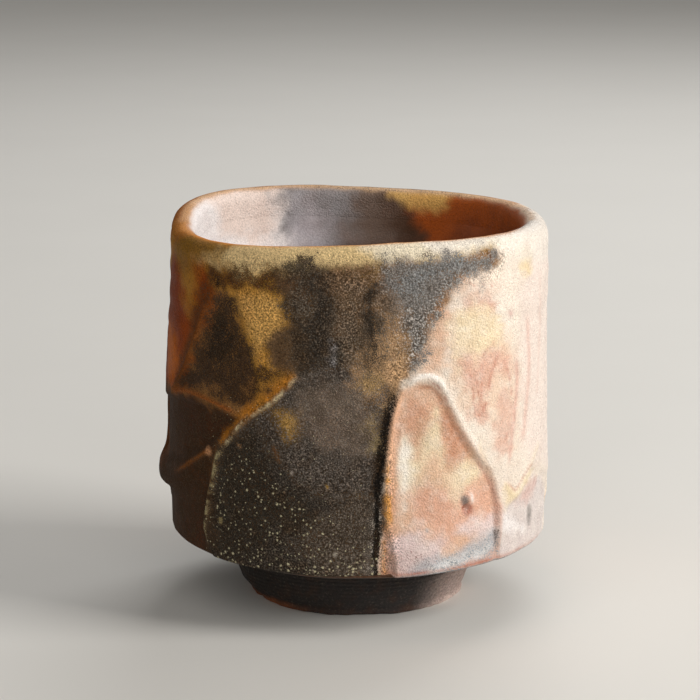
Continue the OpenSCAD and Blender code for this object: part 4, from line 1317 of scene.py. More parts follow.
def add_node(
    tree: bpy.types.NodeTree,
    kind: str,
    inputs: dict[object, object],
    output: int | str = 0,
    **settings: object,
) -> Socket | None:
    """Add a shader node with its settings, values and links.

    Args:
        tree: the material's node tree.
        kind: the node's type.
        inputs: values or output sockets, by the input's name or number.
        output: name or number of the output that is wanted.
        **settings: properties of the node.

    Returns:
        That output, or nothing where the node has none.
    """
    node = tree.nodes.new("ShaderNode" + kind)
    for key, value in settings.items():
        setattr(node, key, value)
    for key, value in inputs.items():
        if isinstance(value, Socket):
            tree.links.new(value, node.inputs[key])
        else:
            node.inputs[key].default_value = value
    return node.outputs[output] if node.outputs else None


def new_material(name: str) -> tuple[bpy.types.Material, AddNode]:
    """Start a material with an empty tree.

    Args:
        name: the material's name.

    Returns:
        The material, and add_node for its tree.
    """
    material = bpy.data.materials.new(name)
    material.use_nodes = True
    material.node_tree.nodes.clear()
    return material, partial(add_node, material.node_tree)


def rgba(code: str) -> tuple[float, float, float, float]:
    """A hex colour as the four numbers that a colour socket takes."""
    return (*linear(code), 1.0)


def per_metre(size: float) -> float:
    """Scale of a pattern whose lumps are so many millimetres wide."""
    return 1.0 / (size * MM)


@dataclass(frozen=True)
class AshGlaze:
    """Natural wood-ash glaze over coarse stoneware, fired in the flame.

    It gives the eye a sandy satin skin: warm flashes, charcoal that thins out as dark
    grains, and pale melted grains of the coarse clay.
    """

    name: str = "wood_ash_glaze"
    grain: float = 0.36  # melted sand
    dust: float = 0.216
    mottle: float = 2.6  # marks of a few millimetres
    cloud: float = 8.0
    grog: float = 0.78  # spacing of the pale grains
    bump: float = 0.3
    rough_dry: float = 0.68
    rough_melted: float = 0.29
    coarse: float = 1.0  # 1 where the skin is sandy all over, 0 where it is smooth
    milk: float = 0.25  # how milky the melted skin turns
    rust: str = "8a5232"
    milk_white: str = "f4ebe0"
    iron_brown: str = "6a4628"
    burnt_brown: str = "523d28"
    # Grey of the dust grains, which stand partly for pale specks and partly for painted glints
    dust_and_glint_grey: str = "a3988a"
    feldspar: str = "cfc5a2"

    def sources(self, node: AddNode) -> dict[str, Socket]:
        """Read the painted layers and draw the patterns that the glaze is made of.

        Args:
            node: adds a node to the material.

        Returns:
            The sockets by name.
        """
        place = node("TexCoord", {}, "Object")
        found = {"place": place}
        layers = {"flash": "Color", "soot": "Color", "grog": "Fac", "gloss": "Fac"}
        for name, output in layers.items():
            found[name] = node("Attribute", {}, output, attribute_name=name)
        found["cover"] = found["soot"].node.outputs["Alpha"]
        for name, size, detail, rough in (
            ("sand", self.grain, 1.5, 0.6),
            ("dust", self.dust, 1.0, 0.6),
            ("marks", self.mottle, 4.0, 0.62),
            ("clouds", self.cloud, 3.0, 0.55),
        ):
            noise = {"Vector": place, "Scale": per_metre(size), "Detail": detail}
            found[name] = node("TexNoise", {**noise, "Roughness": rough})
        found["grain"] = node("Math", {0: found["sand"], 1: 2.0}, operation="MULTIPLY")
        fall = {"Value": found["gloss"], "From Min": 0.1, "From Max": 0.75}
        found["coarse"] = node("MapRange", {**fall, "To Min": self.coarse, "To Max": 0.0})
        return found

    def ground(self, node: AddNode, part: dict[str, Socket]) -> Socket:
        """The warm ground: cloudy, milky where it melted most, with iron specks.

        Args:
            node: adds a node to the material.
            part: what sources gave.

        Returns:
            Its colour.
        """
        warm = node(
            "MapRange",
            {"Value": part["clouds"], "From Min": 0.45, "From Max": 0.72, "To Max": 0.14},
        )
        melted = node(
            "MapRange",
            {"Value": part["gloss"], "From Min": 0.74, "From Max": 0.84, "To Max": self.milk},
        )
        milky = node(
            "MapRange",
            {"Value": part["marks"], "From Min": 0.48, "From Max": 0.7, "To Max": melted},
        )
        colour = part["flash"]
        for share, tint in ((warm, self.rust), (milky, self.milk_white)):
            colour = node("Mix", {0: share, 6: colour, 7: rgba(tint)}, 2, data_type="RGBA")
        power = node("Math", {0: part["coarse"], 1: 1.7, 2: 0.4}, operation="MULTIPLY_ADD")
        shade = node("Math", {0: part["grain"], 1: power}, operation="POWER")
        colour = node("VectorMath", {0: colour, 3: shade}, operation="SCALE")
        most = node("MapRange", {"Value": part["coarse"], "To Min": 0.0, "To Max": 0.34})
        iron = node(
            "MapRange", {"Value": part["dust"], "From Min": 0.6, "From Max": 0.7, "To Max": most}
        )
        return node("Mix", {0: iron, 6: colour, 7: rgba(self.iron_brown)}, 2, data_type="RGBA")

    def charcoal(self, node: AddNode, part: dict[str, Socket]) -> tuple[Socket, Socket]:
        """Charcoal: single grains where it is thin, closed up where it is thick, with painted
        glints.

        Args:
            node: adds a node to the material.
            part: what sources gave.

        Returns:
            How far it covers the ground, and its colour between black, grey and brown.
        """
        lift = part["cover"]
        for pattern, weight in (("sand", 2.0), ("dust", 1.3), ("marks", 0.8)):
            lift = node("Math", {0: part[pattern], 1: weight, 2: lift}, operation="MULTIPLY_ADD")
        there = node("MapRange", {"Value": part["cover"], "From Min": 0.02, "From Max": 0.14})
        closed = {"Value": lift, "From Min": 2.3, "From Max": 2.66}
        thick = node("MapRange", {**closed, "To Max": there})
        burnt = node(
            "MapRange", {"Value": part["marks"], "From Min": 0.48, "From Max": 0.68, "To Max": 0.3}
        )
        brown = {0: burnt, 6: part["soot"], 7: rgba(self.burnt_brown)}
        colour = node("Mix", brown, 2, data_type="RGBA")
        power = node("Math", {0: part["coarse"], 1: 2.9, 2: 0.9}, operation="MULTIPLY_ADD")
        # Bright grains: partly pale specks, partly painted glints of light on the sand
        speck_and_glint = node("Math", {0: part["grain"], 1: power}, operation="POWER")
        colour = node("VectorMath", {0: colour, 3: speck_and_glint}, operation="SCALE")
        most = node("Math", {0: part["coarse"], 1: 0.3}, operation="MULTIPLY")
        # Grey dust grains: partly pale specks, partly painted glints
        dust_and_glint = node(
            "MapRange", {"Value": part["dust"], "From Min": 0.62, "From Max": 0.74, "To Max": most}
        )
        grey = {0: dust_and_glint, 6: colour, 7: rgba(self.dust_and_glint_grey)}
        return thick, node("Mix", grey, 2, data_type="RGBA")

    def feldspar_dots(self, node: AddNode, part: dict[str, Socket]) -> Socket:
        """Pale grains of feldspar, small and uneven.

        Args:
            node: adds a node to the material.
            part: what sources gave.

        Returns:
            1 on a grain, 0 beside it.
        """
        grid = {"Vector": part["place"], "Scale": per_metre(self.grog), "Randomness": 1.0}
        cells = node("TexVoronoi", grid, "Distance")
        own = node("SeparateColor", {0: cells.node.outputs["Color"]})
        reach = node(
            "MapRange",
            {"Value": own, "From Min": 0.3, "From Max": 1.0, "To Min": 0.0, "To Max": 0.38},
        )
        reach = node("Math", {0: reach, 1: part["grog"]}, operation="MULTIPLY")
        edge = node("Math", {0: part["dust"], 1: 0.7, 2: -0.35}, operation="MULTIPLY_ADD")
        near = node("Math", {0: cells, 1: edge}, operation="ADD")
        return node(
            "MapRange",
            {"Value": near, "From Min": reach, "From Max": 0.0, "To Min": 0.0, "To Max": 1.4},
        )

    def material(self) -> bpy.types.Material:
        """Build the glaze from the layers painted on its piece."""
        material, node = new_material(self.name)
        part = self.sources(node)
        ground = self.ground(node, part)
        thick, char = self.charcoal(node, part)
        colour = node("Mix", {0: thick, 6: ground, 7: char}, 2, data_type="RGBA")
        dots = self.feldspar_dots(node, part)
        colour = node("Mix", {0: dots, 6: colour, 7: rgba(self.feldspar)}, 2, data_type="RGBA")

        melt = {"Value": part["gloss"], "From Min": 0.5, "From Max": 0.85}
        dry = node("MapRange", {**melt, "To Min": self.rough_dry, "To Max": self.rough_melted})
        rough = node("Math", {0: part["marks"], 1: 0.3, 2: dry}, operation="MULTIPLY_ADD")
        rough = node("Math", {0: rough, 1: 0.15}, operation="SUBTRACT")
        melt = {"Value": part["gloss"], "From Min": 0.6, "From Max": 0.85}
        mirror = node("MapRange", {**melt, "To Min": 0.08, "To Max": 0.5})

        height = part["sand"]
        for pattern, weight in ((part["marks"], 0.9), (dots, 0.35)):
            height = node("Math", {0: pattern, 1: weight, 2: height}, operation="MULTIPLY_ADD")
        bump = node("Bump", {"Height": height, "Strength": 0.85, "Distance": self.bump * MM})
        skin = {"Base Color": colour, "Roughness": rough, "Specular IOR Level": mirror}
        shader = node("BsdfPrincipled", {**skin, "Normal": bump})
        node("OutputMaterial", {"Surface": shader})
        return material


@dataclass(frozen=True)
class BareClay:
    """Coarse iron-bearing stoneware with no glaze, turned on the wheel and fired dry.

    It gives the eye a matt skin of the tone that the fire left, with small grit.
    """

    name: str = "bare_stoneware"
    grain: float = 0.5
    mottle: float = 3.2
    bump: float = 0.22
    rust: str = "7d4f31"
    grit_grey: str = "a0937f"

    def material(self) -> bpy.types.Material:
        """Build the clay over the tone painted on its piece."""
        material, node = new_material(self.name)
        place = node("TexCoord", {}, "Object")
        tone = node("Attribute", {}, "Color", attribute_name="tone")
        grit, marks = (
            node(
                "TexNoise",
                {"Vector": place, "Scale": per_metre(size), "Detail": detail, "Roughness": 0.6},
            )
            for size, detail in ((self.grain, 2.0), (self.mottle, 4.0))
        )
        shade = node(
            "MapRange",
            {"Value": grit, "From Min": 0.3, "From Max": 0.7, "To Min": 0.6, "To Max": 1.4},
        )
        body = node("VectorMath", {0: tone, 3: shade}, operation="SCALE")
        for pattern, start, end, most, tint in (
            (marks, 0.5, 0.72, 0.14, self.rust),
            (grit, 0.6, 0.7, 0.12, self.grit_grey),
        ):
            share = node(
                "MapRange", {"Value": pattern, "From Min": start, "From Max": end, "To Max": most}
            )
            body = node("Mix", {0: share, 6: body, 7: rgba(tint)}, 2, data_type="RGBA")
        rough = node(
            "MapRange",
            {"Value": marks, "From Min": 0.3, "From Max": 0.7, "To Min": 0.74, "To Max": 0.9},
        )
        height = node("Math", {0: marks, 1: 0.9, 2: grit}, operation="MULTIPLY_ADD")
        bump = node("Bump", {"Height": height, "Strength": 0.9, "Distance": self.bump * MM})
        shader = node("BsdfPrincipled", {"Base Color": body, "Roughness": rough, "Normal": bump})
        node("OutputMaterial", {"Surface": shader})
        return material


@dataclass
class AshCoat:
    """The outside coat with the carved wall's shape, from the hip over the lip."""

    form: ThrownForm
    columns: int = 560
    crowd: float = 0.3  # how much closer the columns stand at the front
    lap_rings: int = 6
    wall_rings: int = 136
    lip_rings: int = 14
    back_rings: int = 6
    hip_round: float = 1.1
    hip_flat: float = 0.8  # height of that round for each millimetre of its width
    skin_share: float = 0.9  # how much of the coat's thickness stands off the clay
    outer_stand: float = 0.35  # what stands off further follows the wall's stray in full
    back_top: float = 0.72  # where the hidden back starts, as a share of the lip's wall
    back_foot: float = 0.5  # where it ends, as a share of the foot's wall
    back_rise: float = 0.4
    lip_carving: float = 0.5  # how much of the carving reaches the lip
    lip_crest_share: float = 0.8  # how much of the crest's lumps lifts the rim
    # Drop below the lip's round, and how far the coat stands off the clay there
    inside_drops: tuple[Place, ...] = (
        (1.0, -0.52), (2.0, -0.55), (2.8, -0.57), (3.4, -0.56),
        (3.9, -0.48), (4.5, -0.2), (5.2, 0.5),
    )
    # Height, width and seed of the thrown skin's lumps, and of the crest's
    skin_lumps: tuple[Lump, ...] = ((0.16, 9.0, 3), (0.1, 3.6, 5), (0.05, 1.5, 7))
    crest_lumps: tuple[Lump, ...] = ((0.14, 7.0, 21), (0.07, 2.5, 22))
    throwing_height: float = 0.07
    throwing_pitch: float = 5.5
    fold_proud: float = 1.75
    fold_at: Place = (-88.0, 27.5)
    fold_spread: Place = (13.0, 3.4)
    # Angle, height, radius and rise of the blister and of its pit
    blister: tuple[tuple[float, float, float, float], ...] = (
        (33.2, 28.6, 1.1, 0.7),
        (32.6, 26.9, 0.8, -0.8),
    )

    def profile(self) -> tuple[Array, Array, Array, Array, Array]:
        """Half-widths and heights of the rings before the carving.

        Returns:
            Angles by column, and by ring and column half-widths, heights, how far the
            carving reaches, and how far the coat stands off the clay.
        """
        form = self.form
        even = np.linspace(0, 2 * np.pi, self.columns, endpoint=False)
        angle = np.degrees(even - self.crowd * np.sin(even))
        hip = form.hip_height(angle)
        lip_r = form.lip_wall / 2
        lip_start = form.crest_height(angle) - lip_r
        skin = form.coat * self.skin_share
        hip_half, lip_half = form.half_width(0.0), form.half_width(1.0)
        rings = []
        for turn in arc_angles(-90, 0, self.lap_rings, endpoint=False):
            rise = self.hip_round * np.sin(turn) * self.hip_flat
            rings.append((hip_half - self.hip_round * (1 - np.cos(turn)), hip + rise, 1.0, skin))
        for share in np.linspace(0, 1, self.wall_rings):
            level = hip + (lip_start - hip) * share
            rings.append((form.half_width(share), level, 1.0, skin))
        for turn in arc_angles(0, 180, self.lip_rings + 1)[1:]:
            side = np.cos(turn)
            stand = (skin if side > 0 else form.liner) * side
            level = lip_start + (lip_r + skin) * np.sin(turn)
            reach = max(0.0, side) * self.lip_carving
            rings.append((lip_half - lip_r * (1 - side), level, reach, stand))
        for drop, stand in self.inside_drops:
            level = lip_start - drop
            rings.append((form.inner_half(level, lip_start), level, 0.0, stand))
        low = lip_start - self.inside_drops[-1][0]
        top_half = lip_half - form.lip_wall * self.back_top
        foot_half = hip_half - form.foot_wall * self.back_foot
        for share in np.linspace(0, 1, self.back_rings):
            level = low + (hip + self.back_rise - low) * share
            rings.append((top_half + (foot_half - top_half) * share, level, 0.0, 0.0))
        return angle, *(np.array([value + 0 * angle for value in kind]) for kind in zip(*rings))

    def relief(self, sheet: Sheet) -> Array:
        """How far the carved skin stands from the thrown wall.

        Args:
            sheet: the places on the wall.

        Returns:
            Millimetres, negative where clay was taken away.
        """
        cut = np.max([stroke.depth(sheet) for stroke in KNIFE_CUTS], axis=0)
        rise = np.max([ridge.near(sheet) * ridge.height for ridge in RIDGES], axis=0)
        wander = sheet.height + 1.2 * lumps(sheet.points, 14.0, 9)
        throwing = self.throwing_height * np.sin(2 * np.pi * wander / self.throwing_pitch)
        throwing *= ease(50, 66, sheet.height)
        beside = signed(sheet.angle - self.fold_at[0])
        above = sheet.height - self.fold_at[1]
        fold = bell(beside, self.fold_spread[0]) * bell(above, self.fold_spread[1])
        skin = uneven(sheet.points, *self.skin_lumps) + throwing + self.fold_proud * fold
        for angle, height, radius, proud in self.blister:
            skin += proud * sheet.spot(angle, height, radius)
        return rise - cut + skin

    def build(self) -> bpy.types.Object:
        """Throw, carve and colour the coat."""
        angle, halves, heights, reach, stand = self.profile()
        rings = len(halves)
        turn = np.tile(angle, (rings, 1))
        follow = np.where(stand > self.outer_stand, 1.0, 0.5)
        stand = stand + self.form.stray(turn, heights) * follow
        bare = self.form.spot(turn, halves, heights, stand)
        sheet = Sheet(signed(turn).ravel(), heights.ravel(), bare.reshape(-1, 3))
        relief = self.relief(sheet).reshape(turn.shape) * reach
        crest = uneven(sheet.points, *self.crest_lumps).reshape(turn.shape)
        rim = (1 - reach) * (np.arange(rings) < rings - self.back_rings)[:, None]
        lifted = heights + rim * crest * self.lip_crest_share
        grid = self.form.hold(self.form.spot(turn, halves, lifted, stand + relief))
        piece = turned_blank("ash_coat", self.columns, rings, True)
        ring, column = shape_blank(piece, self.columns, grid)
        own = ring * self.columns + column
        own_sheet = Sheet(sheet.angle[own], sheet.height[own], sheet.points[own])
        self.colour(own_sheet, ring).store(piece)
        return piece

    def colour(self, sheet: Sheet, ring: Array) -> Coat:
        """Lay the marks on the outside and the inside, and join them on the lip.

        Args:
            sheet: the places.
            ring: the ring that each place lies on.

        Returns:
            The coat's layers.
        """
        coat, inside = Coat(sheet, "8a6238"), Coat(sheet, "9b7a5c")
        for stain in STAINS + GRAINS:
            coat.add(stain)
        for stain in FLASHES:
            coat.flash_over(stain.tint, stain.share(sheet), 0.85)
        for ridge in RIDGES:
            coat.wear(ridge)
        self.flame_hip(coat)
        for stain in INSIDE_STAINS:
            inside.add(stain)
        # Counted from where the lip's round starts, 0.5 is the crest
        wavy = ring + 0.6 * lumps(sheet.points, 3.0, 41) - self.lap_rings - self.wall_rings
        passed = wavy / self.lip_rings
        coat.blend(inside, ease(0.5, 0.68, passed))
        crest = bell(passed - 0.5, 0.12)
        for line in LIP_LINE:
            coat.flash_over(line.tint, line.share(sheet) * crest, 0.8)
        return coat

    def flame_hip(self, coat: Coat) -> None:
        """Draw the thin orange line where the coat ends at the hip, and darken the coat where it
        curls under that edge.

        Args:
            coat: the coat's layers.
        """
        sheet = coat.sheet
        rise = sheet.height - self.form.hip_height(sheet.angle)
        line = bell(rise - 0.05, 0.42) * (0.65 + 0.35 * lumps(sheet.points, 4.0, 51))
        side = ease(4, 14, sheet.angle) * ease(75, 50, sheet.angle) * 0.8 + 0.1
        coat.flash_over("a8532c", np.clip(line * side, 0, 1), 0.8)
        coat.soot[:, 3] = np.maximum(coat.soot[:, 3], ease(-0.2, -0.8, rise) * 0.8)

    def dress(self, piece: bpy.types.Object) -> None:
        """Glaze the coat and seat it on the frame."""
        piece.data.materials.append(AshGlaze().material())
        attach(piece, "root")
        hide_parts("outer_glaze")


@dataclass
class LinerCoat:
    """The coat inside the cup, from under the lip down to the rounded floor."""

    form: ThrownForm
    columns: int = 320
    floor_rings: int = 16
    bowl_rings: int = 16
    wall_rings: int = 56
    back_rings: int = 6
    lip_gap: float = 2.6  # how far below the lip's round it ends
    back_rise: float = 0.8
    back_inset: float = 0.5
    shell: Place = (1.0, 0.6)  # the back's rounded corner, sideways and down
    sink: float = 0.1  # how far the wall stays behind its even form
    roll_radius: float = 35.0
    skin_lumps: tuple[Lump, ...] = ((0.16, 10.0, 61), (0.08, 3.0, 62))
    spiral_height: float = 0.14
    spiral_pitch: float = 6.5

    def build(self) -> bpy.types.Object:
        """Throw and colour the inside."""
        form = self.form
        rings = Rings(self.columns)
        start = form.bowl_start
        lip_start = form.crest_height(rings.angle) - form.lip_wall / 2
        top = lip_start - self.lip_gap
        corner = form.half_width(0.0) - form.foot_wall - form.liner - form.floor_round
        for share in np.linspace(0, 1, self.floor_rings + 1)[1:]:
            rings.add(corner * share, form.floor + form.liner)
        for turn in arc_angles(0, 90, self.bowl_rings + 1)[1:]:
            half = corner + form.floor_round * np.sin(turn)
            rings.add(half, start - (form.floor_round - form.liner) * np.cos(turn))
        for share in np.linspace(0, 1, self.wall_rings + 1)[1:]:
            level = start + (top - start) * share
            rings.add(form.inner_half(level, lip_start) - form.liner, level)
        visible = len(rings.halves)
        for share in np.linspace(1, 0, self.back_rings, endpoint=False):
            level = start + (top + self.back_rise - start) * share
            rings.add(form.inner_half(level, lip_start) + self.back_inset, level)
        for turn in arc_angles(90, 18, self.back_rings):
            half = corner + (form.floor_round + self.shell[0]) * np.sin(turn)
            rings.add(half, start - (form.floor_round + self.shell[1]) * np.cos(turn))

        turn, halves, heights = rings.grids()
        flat = form.spot(turn, halves, heights).reshape(-1, 3)
        wind = flat[:, 2] / self.spiral_pitch + turn.ravel() / 360.0
        spiral = self.spiral_height * np.sin(2 * np.pi * wind)
        spiral *= ease(start - 6, start + 4, flat[:, 2])
        swell = (uneven(flat, *self.skin_lumps) + spiral).reshape(turn.shape)
        swell[visible:] = 0
        order = np.arange(len(halves), dtype=float)[:, None]
        fade = ease(0, self.floor_rings, order) * (1 - ease(visible - 8, visible - 2, order))
        stray = form.stray(turn, heights) * 0.5 * ease(40, 60, heights)
        grid = form.spot(turn, halves, heights, stray - (swell + self.sink) * fade)
        grid[: self.floor_rings, :, 2] += swell[: self.floor_rings] * 0.8
        piece = turned_blank("liner_coat", self.columns, len(halves), False)
        poles = np.array([[0, 0, form.floor + form.liner], [0, 0, form.floor - self.shell[1]]])
        _, column = shape_blank(piece, self.columns, grid, poles)
        self.colour(piece, column)
        return piece

    def colour(self, piece: bpy.types.Object, column: Array) -> None:
        """Lay the marks of the inside on the liner.

        Args:
            piece: the liner.
            column: the column of each vertex, -1 for a pole's.
        """
        placed = np.empty(len(column) * 3)
        piece.data.vertices.foreach_get("co", placed)
        points = placed.reshape(-1, 3) / MM
        angle = signed(np.maximum(column, 0) * 360.0 / self.columns)
        coat = Coat(Sheet(angle, points[:, 2], points, self.roll_radius), "9b8170")
        for stain in INSIDE_STAINS:
            coat.add(stain)
        coat.store(piece)

    def dress(self, piece: bpy.types.Object) -> None:
        """Glaze the liner and seat it on the frame."""
        glaze = AshGlaze(
            name="satin_liner_glaze",
            bump=0.1,
            rough_dry=0.55,
            rough_melted=0.32,
            coarse=0.0,
            milk=0.1,
        )
        piece.data.materials.append(glaze.material())
        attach(piece, "root")
        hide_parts("inner_glaze")


@dataclass
class ClayBody:
    """The fired wall between the two coats, bare under the hip."""

    form: ThrownForm
    columns: int = 320
    under_rings: int = 18
    side_rings: int = 6
    corner_rings: int = 8
    edge_inset: float = 1.4
    edge_drop: float = 0.75
    under_curve: float = 1.15
    outer_inset: float = 3.0
    outer_rise: float = 0.6
    inner_inset: float = 0.8
    shell: Place = (1.0, 0.3)  # the corner behind the liner's, sideways and down
    floor_drop: float = 0.4
    groove_height: float = 0.1
    groove_pitch: float = 1.9
    skin_lumps: tuple[Lump, ...] = ((0.14, 5.0, 71), (0.06, 1.6, 72))

    def build(self) -> bpy.types.Object:
        """Turn the underside and fill the wall behind the coats."""
        form = self.form
        rings = Rings(self.columns)
        hip, crest = form.hip_height(rings.angle), form.crest_height(rings.angle)
        start, top = form.bowl_start, crest - form.lip_wall
        seam_half = form.seam_r / form.plan(rings.angle, form.foot_top)
        edge = form.half_width(0.0) - self.edge_inset
        for share in np.linspace(0, 1, self.under_rings):
            rise = (hip - self.edge_drop - form.foot_top) * share**self.under_curve
            rings.add(seam_half + (edge - seam_half) * share, form.foot_top + rise)
        low = hip + self.outer_rise
        for share in np.linspace(0, 1, self.side_rings):
            rings.add(form.half_width(share) - self.outer_inset, low + (top - low) * share)
        for share in np.linspace(1, 0, self.side_rings):
            half = form.half_width(share) - form.wall(share) + self.inner_inset
            rings.add(half, start + (top - start) * share)
        corner = form.half_width(0.0) - form.foot_wall - form.floor_round - form.liner
        for turn in arc_angles(84, 10, self.corner_rings):
            half = corner + (form.floor_round + self.shell[0]) * np.sin(turn)
            rings.add(half, start - (form.floor_round + self.shell[1]) * np.cos(turn))
        level = form.floor - self.floor_drop
        rings.add(form.seam_r / form.plan(rings.angle, level), level)

        turn, halves, heights = rings.grids()
        bare = form.spot(turn, halves, heights).reshape(-1, 3)
        from_axis = np.hypot(bare[:, 0], bare[:, 1])
        groove = self.groove_height * np.sin(2 * np.pi * from_axis / self.groove_pitch)
        groove = (groove + uneven(bare, *self.skin_lumps)).reshape(turn.shape)
        groove[self.under_rings :] = 0
        groove[0] = 0
        grid = form.spot(turn, halves, heights + groove)
        piece = turned_blank("clay_body", self.columns, len(halves), True)
        ring, _ = shape_blank(piece, self.columns, grid)
        out = ease(0.7, 1.0, ring / (self.under_rings - 1.0))
        paint(piece, "tone", toned(out, "33291f", "5a3b27"))
        return piece

    def dress(self, piece: bpy.types.Object) -> None:
        """Give the wall its bare clay and seat it on the frame."""
        piece.data.materials.append(BareClay(name="bare_stoneware_wall").material())
        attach(piece, "root")
        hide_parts("cup_wall")


@dataclass
class TurnedFoot:
    """The foot ring, turned with a tool and worn uneven at its edge."""

    form: ThrownForm
    columns: int = 320
    side_rings: int = 18
    round_rings: int = 5
    thick: float = 4.6
    draft: float = 1.0
    flare: float = 0.5
    waist: float = 0.6
    flare_curve: float = 0.8
    edge_round: float = 1.0
    inset: float = 0.25  # keeps the rough skin inside the CAD model's ring
    chip_lift: float = 0.3
    left_bulge: float = 1.5
    bulge_at: float = -85.0
    bulge_spread: float = 42.0
    skin_lumps: tuple[Lump, ...] = ((0.22, 6.0, 83), (0.1, 1.8, 84))

    def build(self) -> bpy.types.Object:
        """Turn the ring and chip its edge."""
        form = self.form
        rings = Rings(self.columns)
        inner = form.foot_r - self.thick
        for share in np.linspace(0, 1, self.side_rings, endpoint=False):
            level = form.foot_top * (1 - share) + self.edge_round * share
            rings.add(inner - self.draft * (1 - share), level)
        for turn in arc_angles(0, 90, self.round_rings + 1):
            drop = 1 - np.sin(turn)
            rings.add(inner + self.edge_round * (1 - np.cos(turn)), self.edge_round * drop)
        for turn in arc_angles(0, 90, self.round_rings + 1):
            rise = 1 - np.cos(turn)
            rings.add(form.foot_r - self.edge_round * (1 - np.sin(turn)), self.edge_round * rise)
        low, high = form.foot_r - self.waist, form.foot_top_r + self.flare
        for share in np.linspace(0, 1, self.side_rings + 1)[1:]:
            level = self.edge_round * (1 - share) + form.foot_top * share
            rings.add(low + (high - low) * share**self.flare_curve, level)

        turn, radius, height = rings.grids()
        bare = round_the_axis(turn, radius, height).reshape(-1, 3)
        chips = ease(0.2, 0.75, lumps(bare, 4.5, 81)) * 0.5 + 0.12 * lumps(bare, 2.0, 82)
        chips *= ease(2.4, 0.2, bare[:, 2])
        inward = (self.inset - uneven(bare, *self.skin_lumps) + chips).reshape(turn.shape)
        outside = np.sign(radius - (form.foot_r - self.thick / 2))
        radius = radius - inward * outside * (height <= form.foot_top - 0.2)
        bulge = self.left_bulge * bell(signed(turn) - self.bulge_at, self.bulge_spread)
        radius = radius + bulge * ease(0.4, 3.6, height) * (outside > 0)
        lift = (self.chip_lift * chips).reshape(turn.shape)
        sole = (height < 0.02) & (outside != 0)
        height = height + np.where(sole, np.clip(lift - 0.12, 0, 1), lift)
        grid = round_the_axis(turn, radius, height)
        piece = turned_blank("turned_foot", self.columns, len(radius), True)
        ring, column = shape_blank(piece, self.columns, grid)
        self.colour(piece, signed(column * 360.0 / self.columns), grid[ring, column])
        return piece

    @staticmethod
    def colour(piece: bpy.types.Object, angle: Array, place: Array) -> None:
        """Tone the foot: smoked in front, worn warm on the left, and pale on the right, where the
        paleness is painted light on the lit side.

        Args:
            piece: the foot.
            angle: the angle of each vertex.
            place: its place in millimetres.
        """
        height = place[:, 2]
        worn = ease(2.0, 0.2, height + 0.7 * lumps(place, 3.0, 85))
        left = ease(-20, -50, angle) * ease(-130, -80, angle)
        # The right side, where the lamp falls: its paleness is painted light
        right = ease(28, 60, angle) * ease(120, 80, angle)
        tone = toned(ease(-70, 20, angle), "241c15", "28221f")
        for share, tint in (
            (right * ease(7.4, 4.4, height - 0.05 * angle) * 0.95, "a8938a"),
            (worn * (0.06 + 0.8 * left), "8f5026"),
            (worn * right * 0.8, "cdb6ac"),
        ):
            tone = toned(share, tone, tint)
        paint(piece, "tone", tone)

    def dress(self, piece: bpy.types.Object) -> None:
        """Give the foot its bare clay and seat it on the frame."""
        piece.data.materials.append(BareClay(name="bare_stoneware_foot").material())
        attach(piece, "root")
        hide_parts("foot_ring")


@dataclass
class RecessFloor:
    """The floor disc, seen from below inside the foot ring."""

    form: ThrownForm
    columns: int = 160
    disc_rings: int = 30
    recess: float = 5.2
    plug_inset: float = 5.0
    seam_gap: float = 0.02
    top_gap: float = 0.1
    dome: float = 0.5
    spiral_height: float = 0.16
    spiral_pitch: float = 2.4
    tone: str = "4a382c"

    def build(self) -> bpy.types.Object:
        """Turn the disc with the spiral that the tool leaves."""
        form = self.form
        rings = Rings(self.columns)
        plug, seam = form.foot_r - self.plug_inset, form.seam_r - self.seam_gap
        top = form.floor - self.top_gap
        for share in np.linspace(0, 1, self.disc_rings + 1)[1:]:
            rings.add(plug * share, self.recess)
        for radius, height in ((plug, form.foot_top), (seam, form.foot_top), (seam, top)):
            rings.add(radius, height)
        turn, radii, heights = rings.grids()
        wind = radii / self.spiral_pitch - turn / 360.0
        turned = self.spiral_height * np.sin(2 * np.pi * wind) + self.dome * ease(plug, 0, radii)
        turned[self.disc_rings :] = 0
        grid = round_the_axis(turn, radii, heights + turned * ease(plug, plug - 2, radii))
        piece = turned_blank("floor_disc", self.columns, len(radii), False)
        poles = np.array([[0, 0, self.recess + self.dome], [0, 0, top]])
        shape_blank(piece, self.columns, grid, poles)
        paint(piece, "tone", np.tile(rgba(self.tone), (len(piece.data.vertices), 1)))
        return piece

    def dress(self, piece: bpy.types.Object) -> None:
        """Give the disc its bare clay and seat it on the frame."""
        piece.data.materials.append(BareClay(name="bare_stoneware_floor").material())
        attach(piece, "root")
        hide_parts("base_disc")


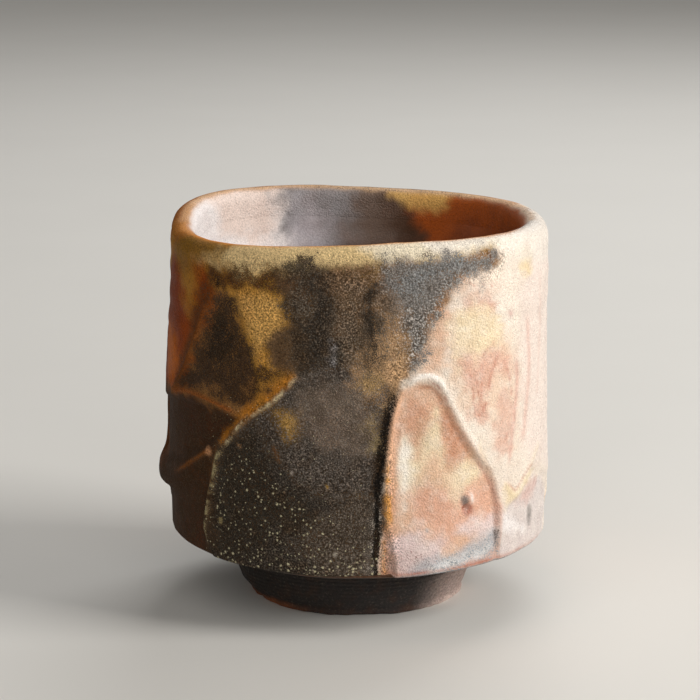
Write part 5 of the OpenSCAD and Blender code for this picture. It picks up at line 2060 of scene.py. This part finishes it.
@dataclass
class Studio:
    """A wide pale floor, soft lamps and the camera."""

    floor_size: float = 4.0
    floor_tint: str = "dddbd6"
    floor_shade: str = "bdbbb6"
    room_tint: str = "dcd9d5"
    room_light: float = 0.3
    aim_height: float = 0.045
    focal_px: float = 3000.0
    frame_px: float = 700.0
    sensor: float = 36.0
    distance: float = 629.5
    eye_height: float = 189.25
    eye_left: float = 1.5
    pitch: float = 12.25

    def floor(self) -> None:
        """Lay the floor, which runs on behind the cup as the backdrop."""
        deselect()
        bpy.ops.mesh.primitive_plane_add(size=self.floor_size, location=(0, 0, 0))
        sweep = bpy.context.object
        sweep.name = "studio_floor"
        material, node = new_material("pale_matt_paper")
        place = node("TexCoord", {}, "Object")
        fibre = node("TexNoise", {"Vector": place, "Scale": per_metre(60.0), "Detail": 2.0})
        cloudy = {"Value": fibre, "From Min": 0.3, "From Max": 0.7}
        share = node("MapRange", {**cloudy, "To Max": 0.05})
        tones = {0: share, 6: rgba(self.floor_tint), 7: rgba(self.floor_shade)}
        tone = node("Mix", tones, 2, data_type="RGBA")
        shader = node("BsdfPrincipled", {"Base Color": tone, "Roughness": 0.9})
        node("OutputMaterial", {"Surface": shader})
        sweep.data.materials.append(material)
        sweep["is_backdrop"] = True

    def lamp(
        self, name: str, place: tuple[float, float, float], size: float, power: float, tint: str
    ) -> None:
        """Hang one soft square lamp that faces the cup.

        Args:
            name: the lamp's name.
            place: where it hangs, in metres.
            size: its side in metres.
            power: watts.
            tint: its colour.
        """
        light = bpy.data.lights.new(name, "AREA")
        light.size, light.energy, light.color = size, power, linear(tint)
        holder = bpy.data.objects.new(name, light)
        bpy.context.scene.collection.objects.link(holder)
        holder.location = place
        aim = Vector((0, 0, self.aim_height)) - Vector(place)
        holder.rotation_euler = aim.to_track_quat("-Z", "Y").to_euler()

    def lights(self) -> None:
        """Hang the lamps and set the room's own light."""
        self.lamp("key_right", (0.8, -0.25, 0.5), 0.45, 7.5, "fffcf8")
        self.lamp("fill_front", (0.1, -1.0, 0.55), 0.8, 3.4, "fffdfa")
        self.lamp("top_back", (0.25, 0.7, 0.75), 0.6, 4.0, "ffffff")
        world = bpy.data.worlds.new("room")
        bpy.context.scene.world = world
        world.use_nodes = True
        background = world.node_tree.nodes["Background"]
        background.inputs["Color"].default_value = rgba(self.room_tint)
        background.inputs["Strength"].default_value = self.room_light

    def camera(self) -> None:
        """Stand the camera where the photograph was taken from."""
        data = bpy.data.cameras.new("camera")
        data.sensor_width = self.sensor
        data.lens = self.sensor * self.focal_px / self.frame_px
        data.clip_end = 20.0
        holder = bpy.data.objects.new("camera", data)
        bpy.context.scene.collection.objects.link(holder)
        holder.location = (-self.eye_left * MM, -self.distance * MM, self.eye_height * MM)
        holder.rotation_euler = (math.radians(90 - self.pitch), 0, 0)
        bpy.context.scene.camera = holder

    def build(self) -> None:
        """Set up the whole studio."""
        self.floor()
        self.lights()
        self.camera()
        bpy.context.scene.view_settings.view_transform = "Standard"


def main() -> None:
    """Build the studio and every piece of the cup in order."""
    logging.basicConfig(level=logging.INFO, format="%(name)s: %(message)s")
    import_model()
    form = ThrownForm.from_frame()
    Studio().build()
    for kind in (AshCoat, LinerCoat, ClayBody, TurnedFoot, RecessFloor):
        maker = kind(form)
        piece = maker.build()
        maker.dress(piece)
        LOG.info("%s: %d faces", piece.name, len(piece.data.polygons))


if __name__ == "__main__":
    main()
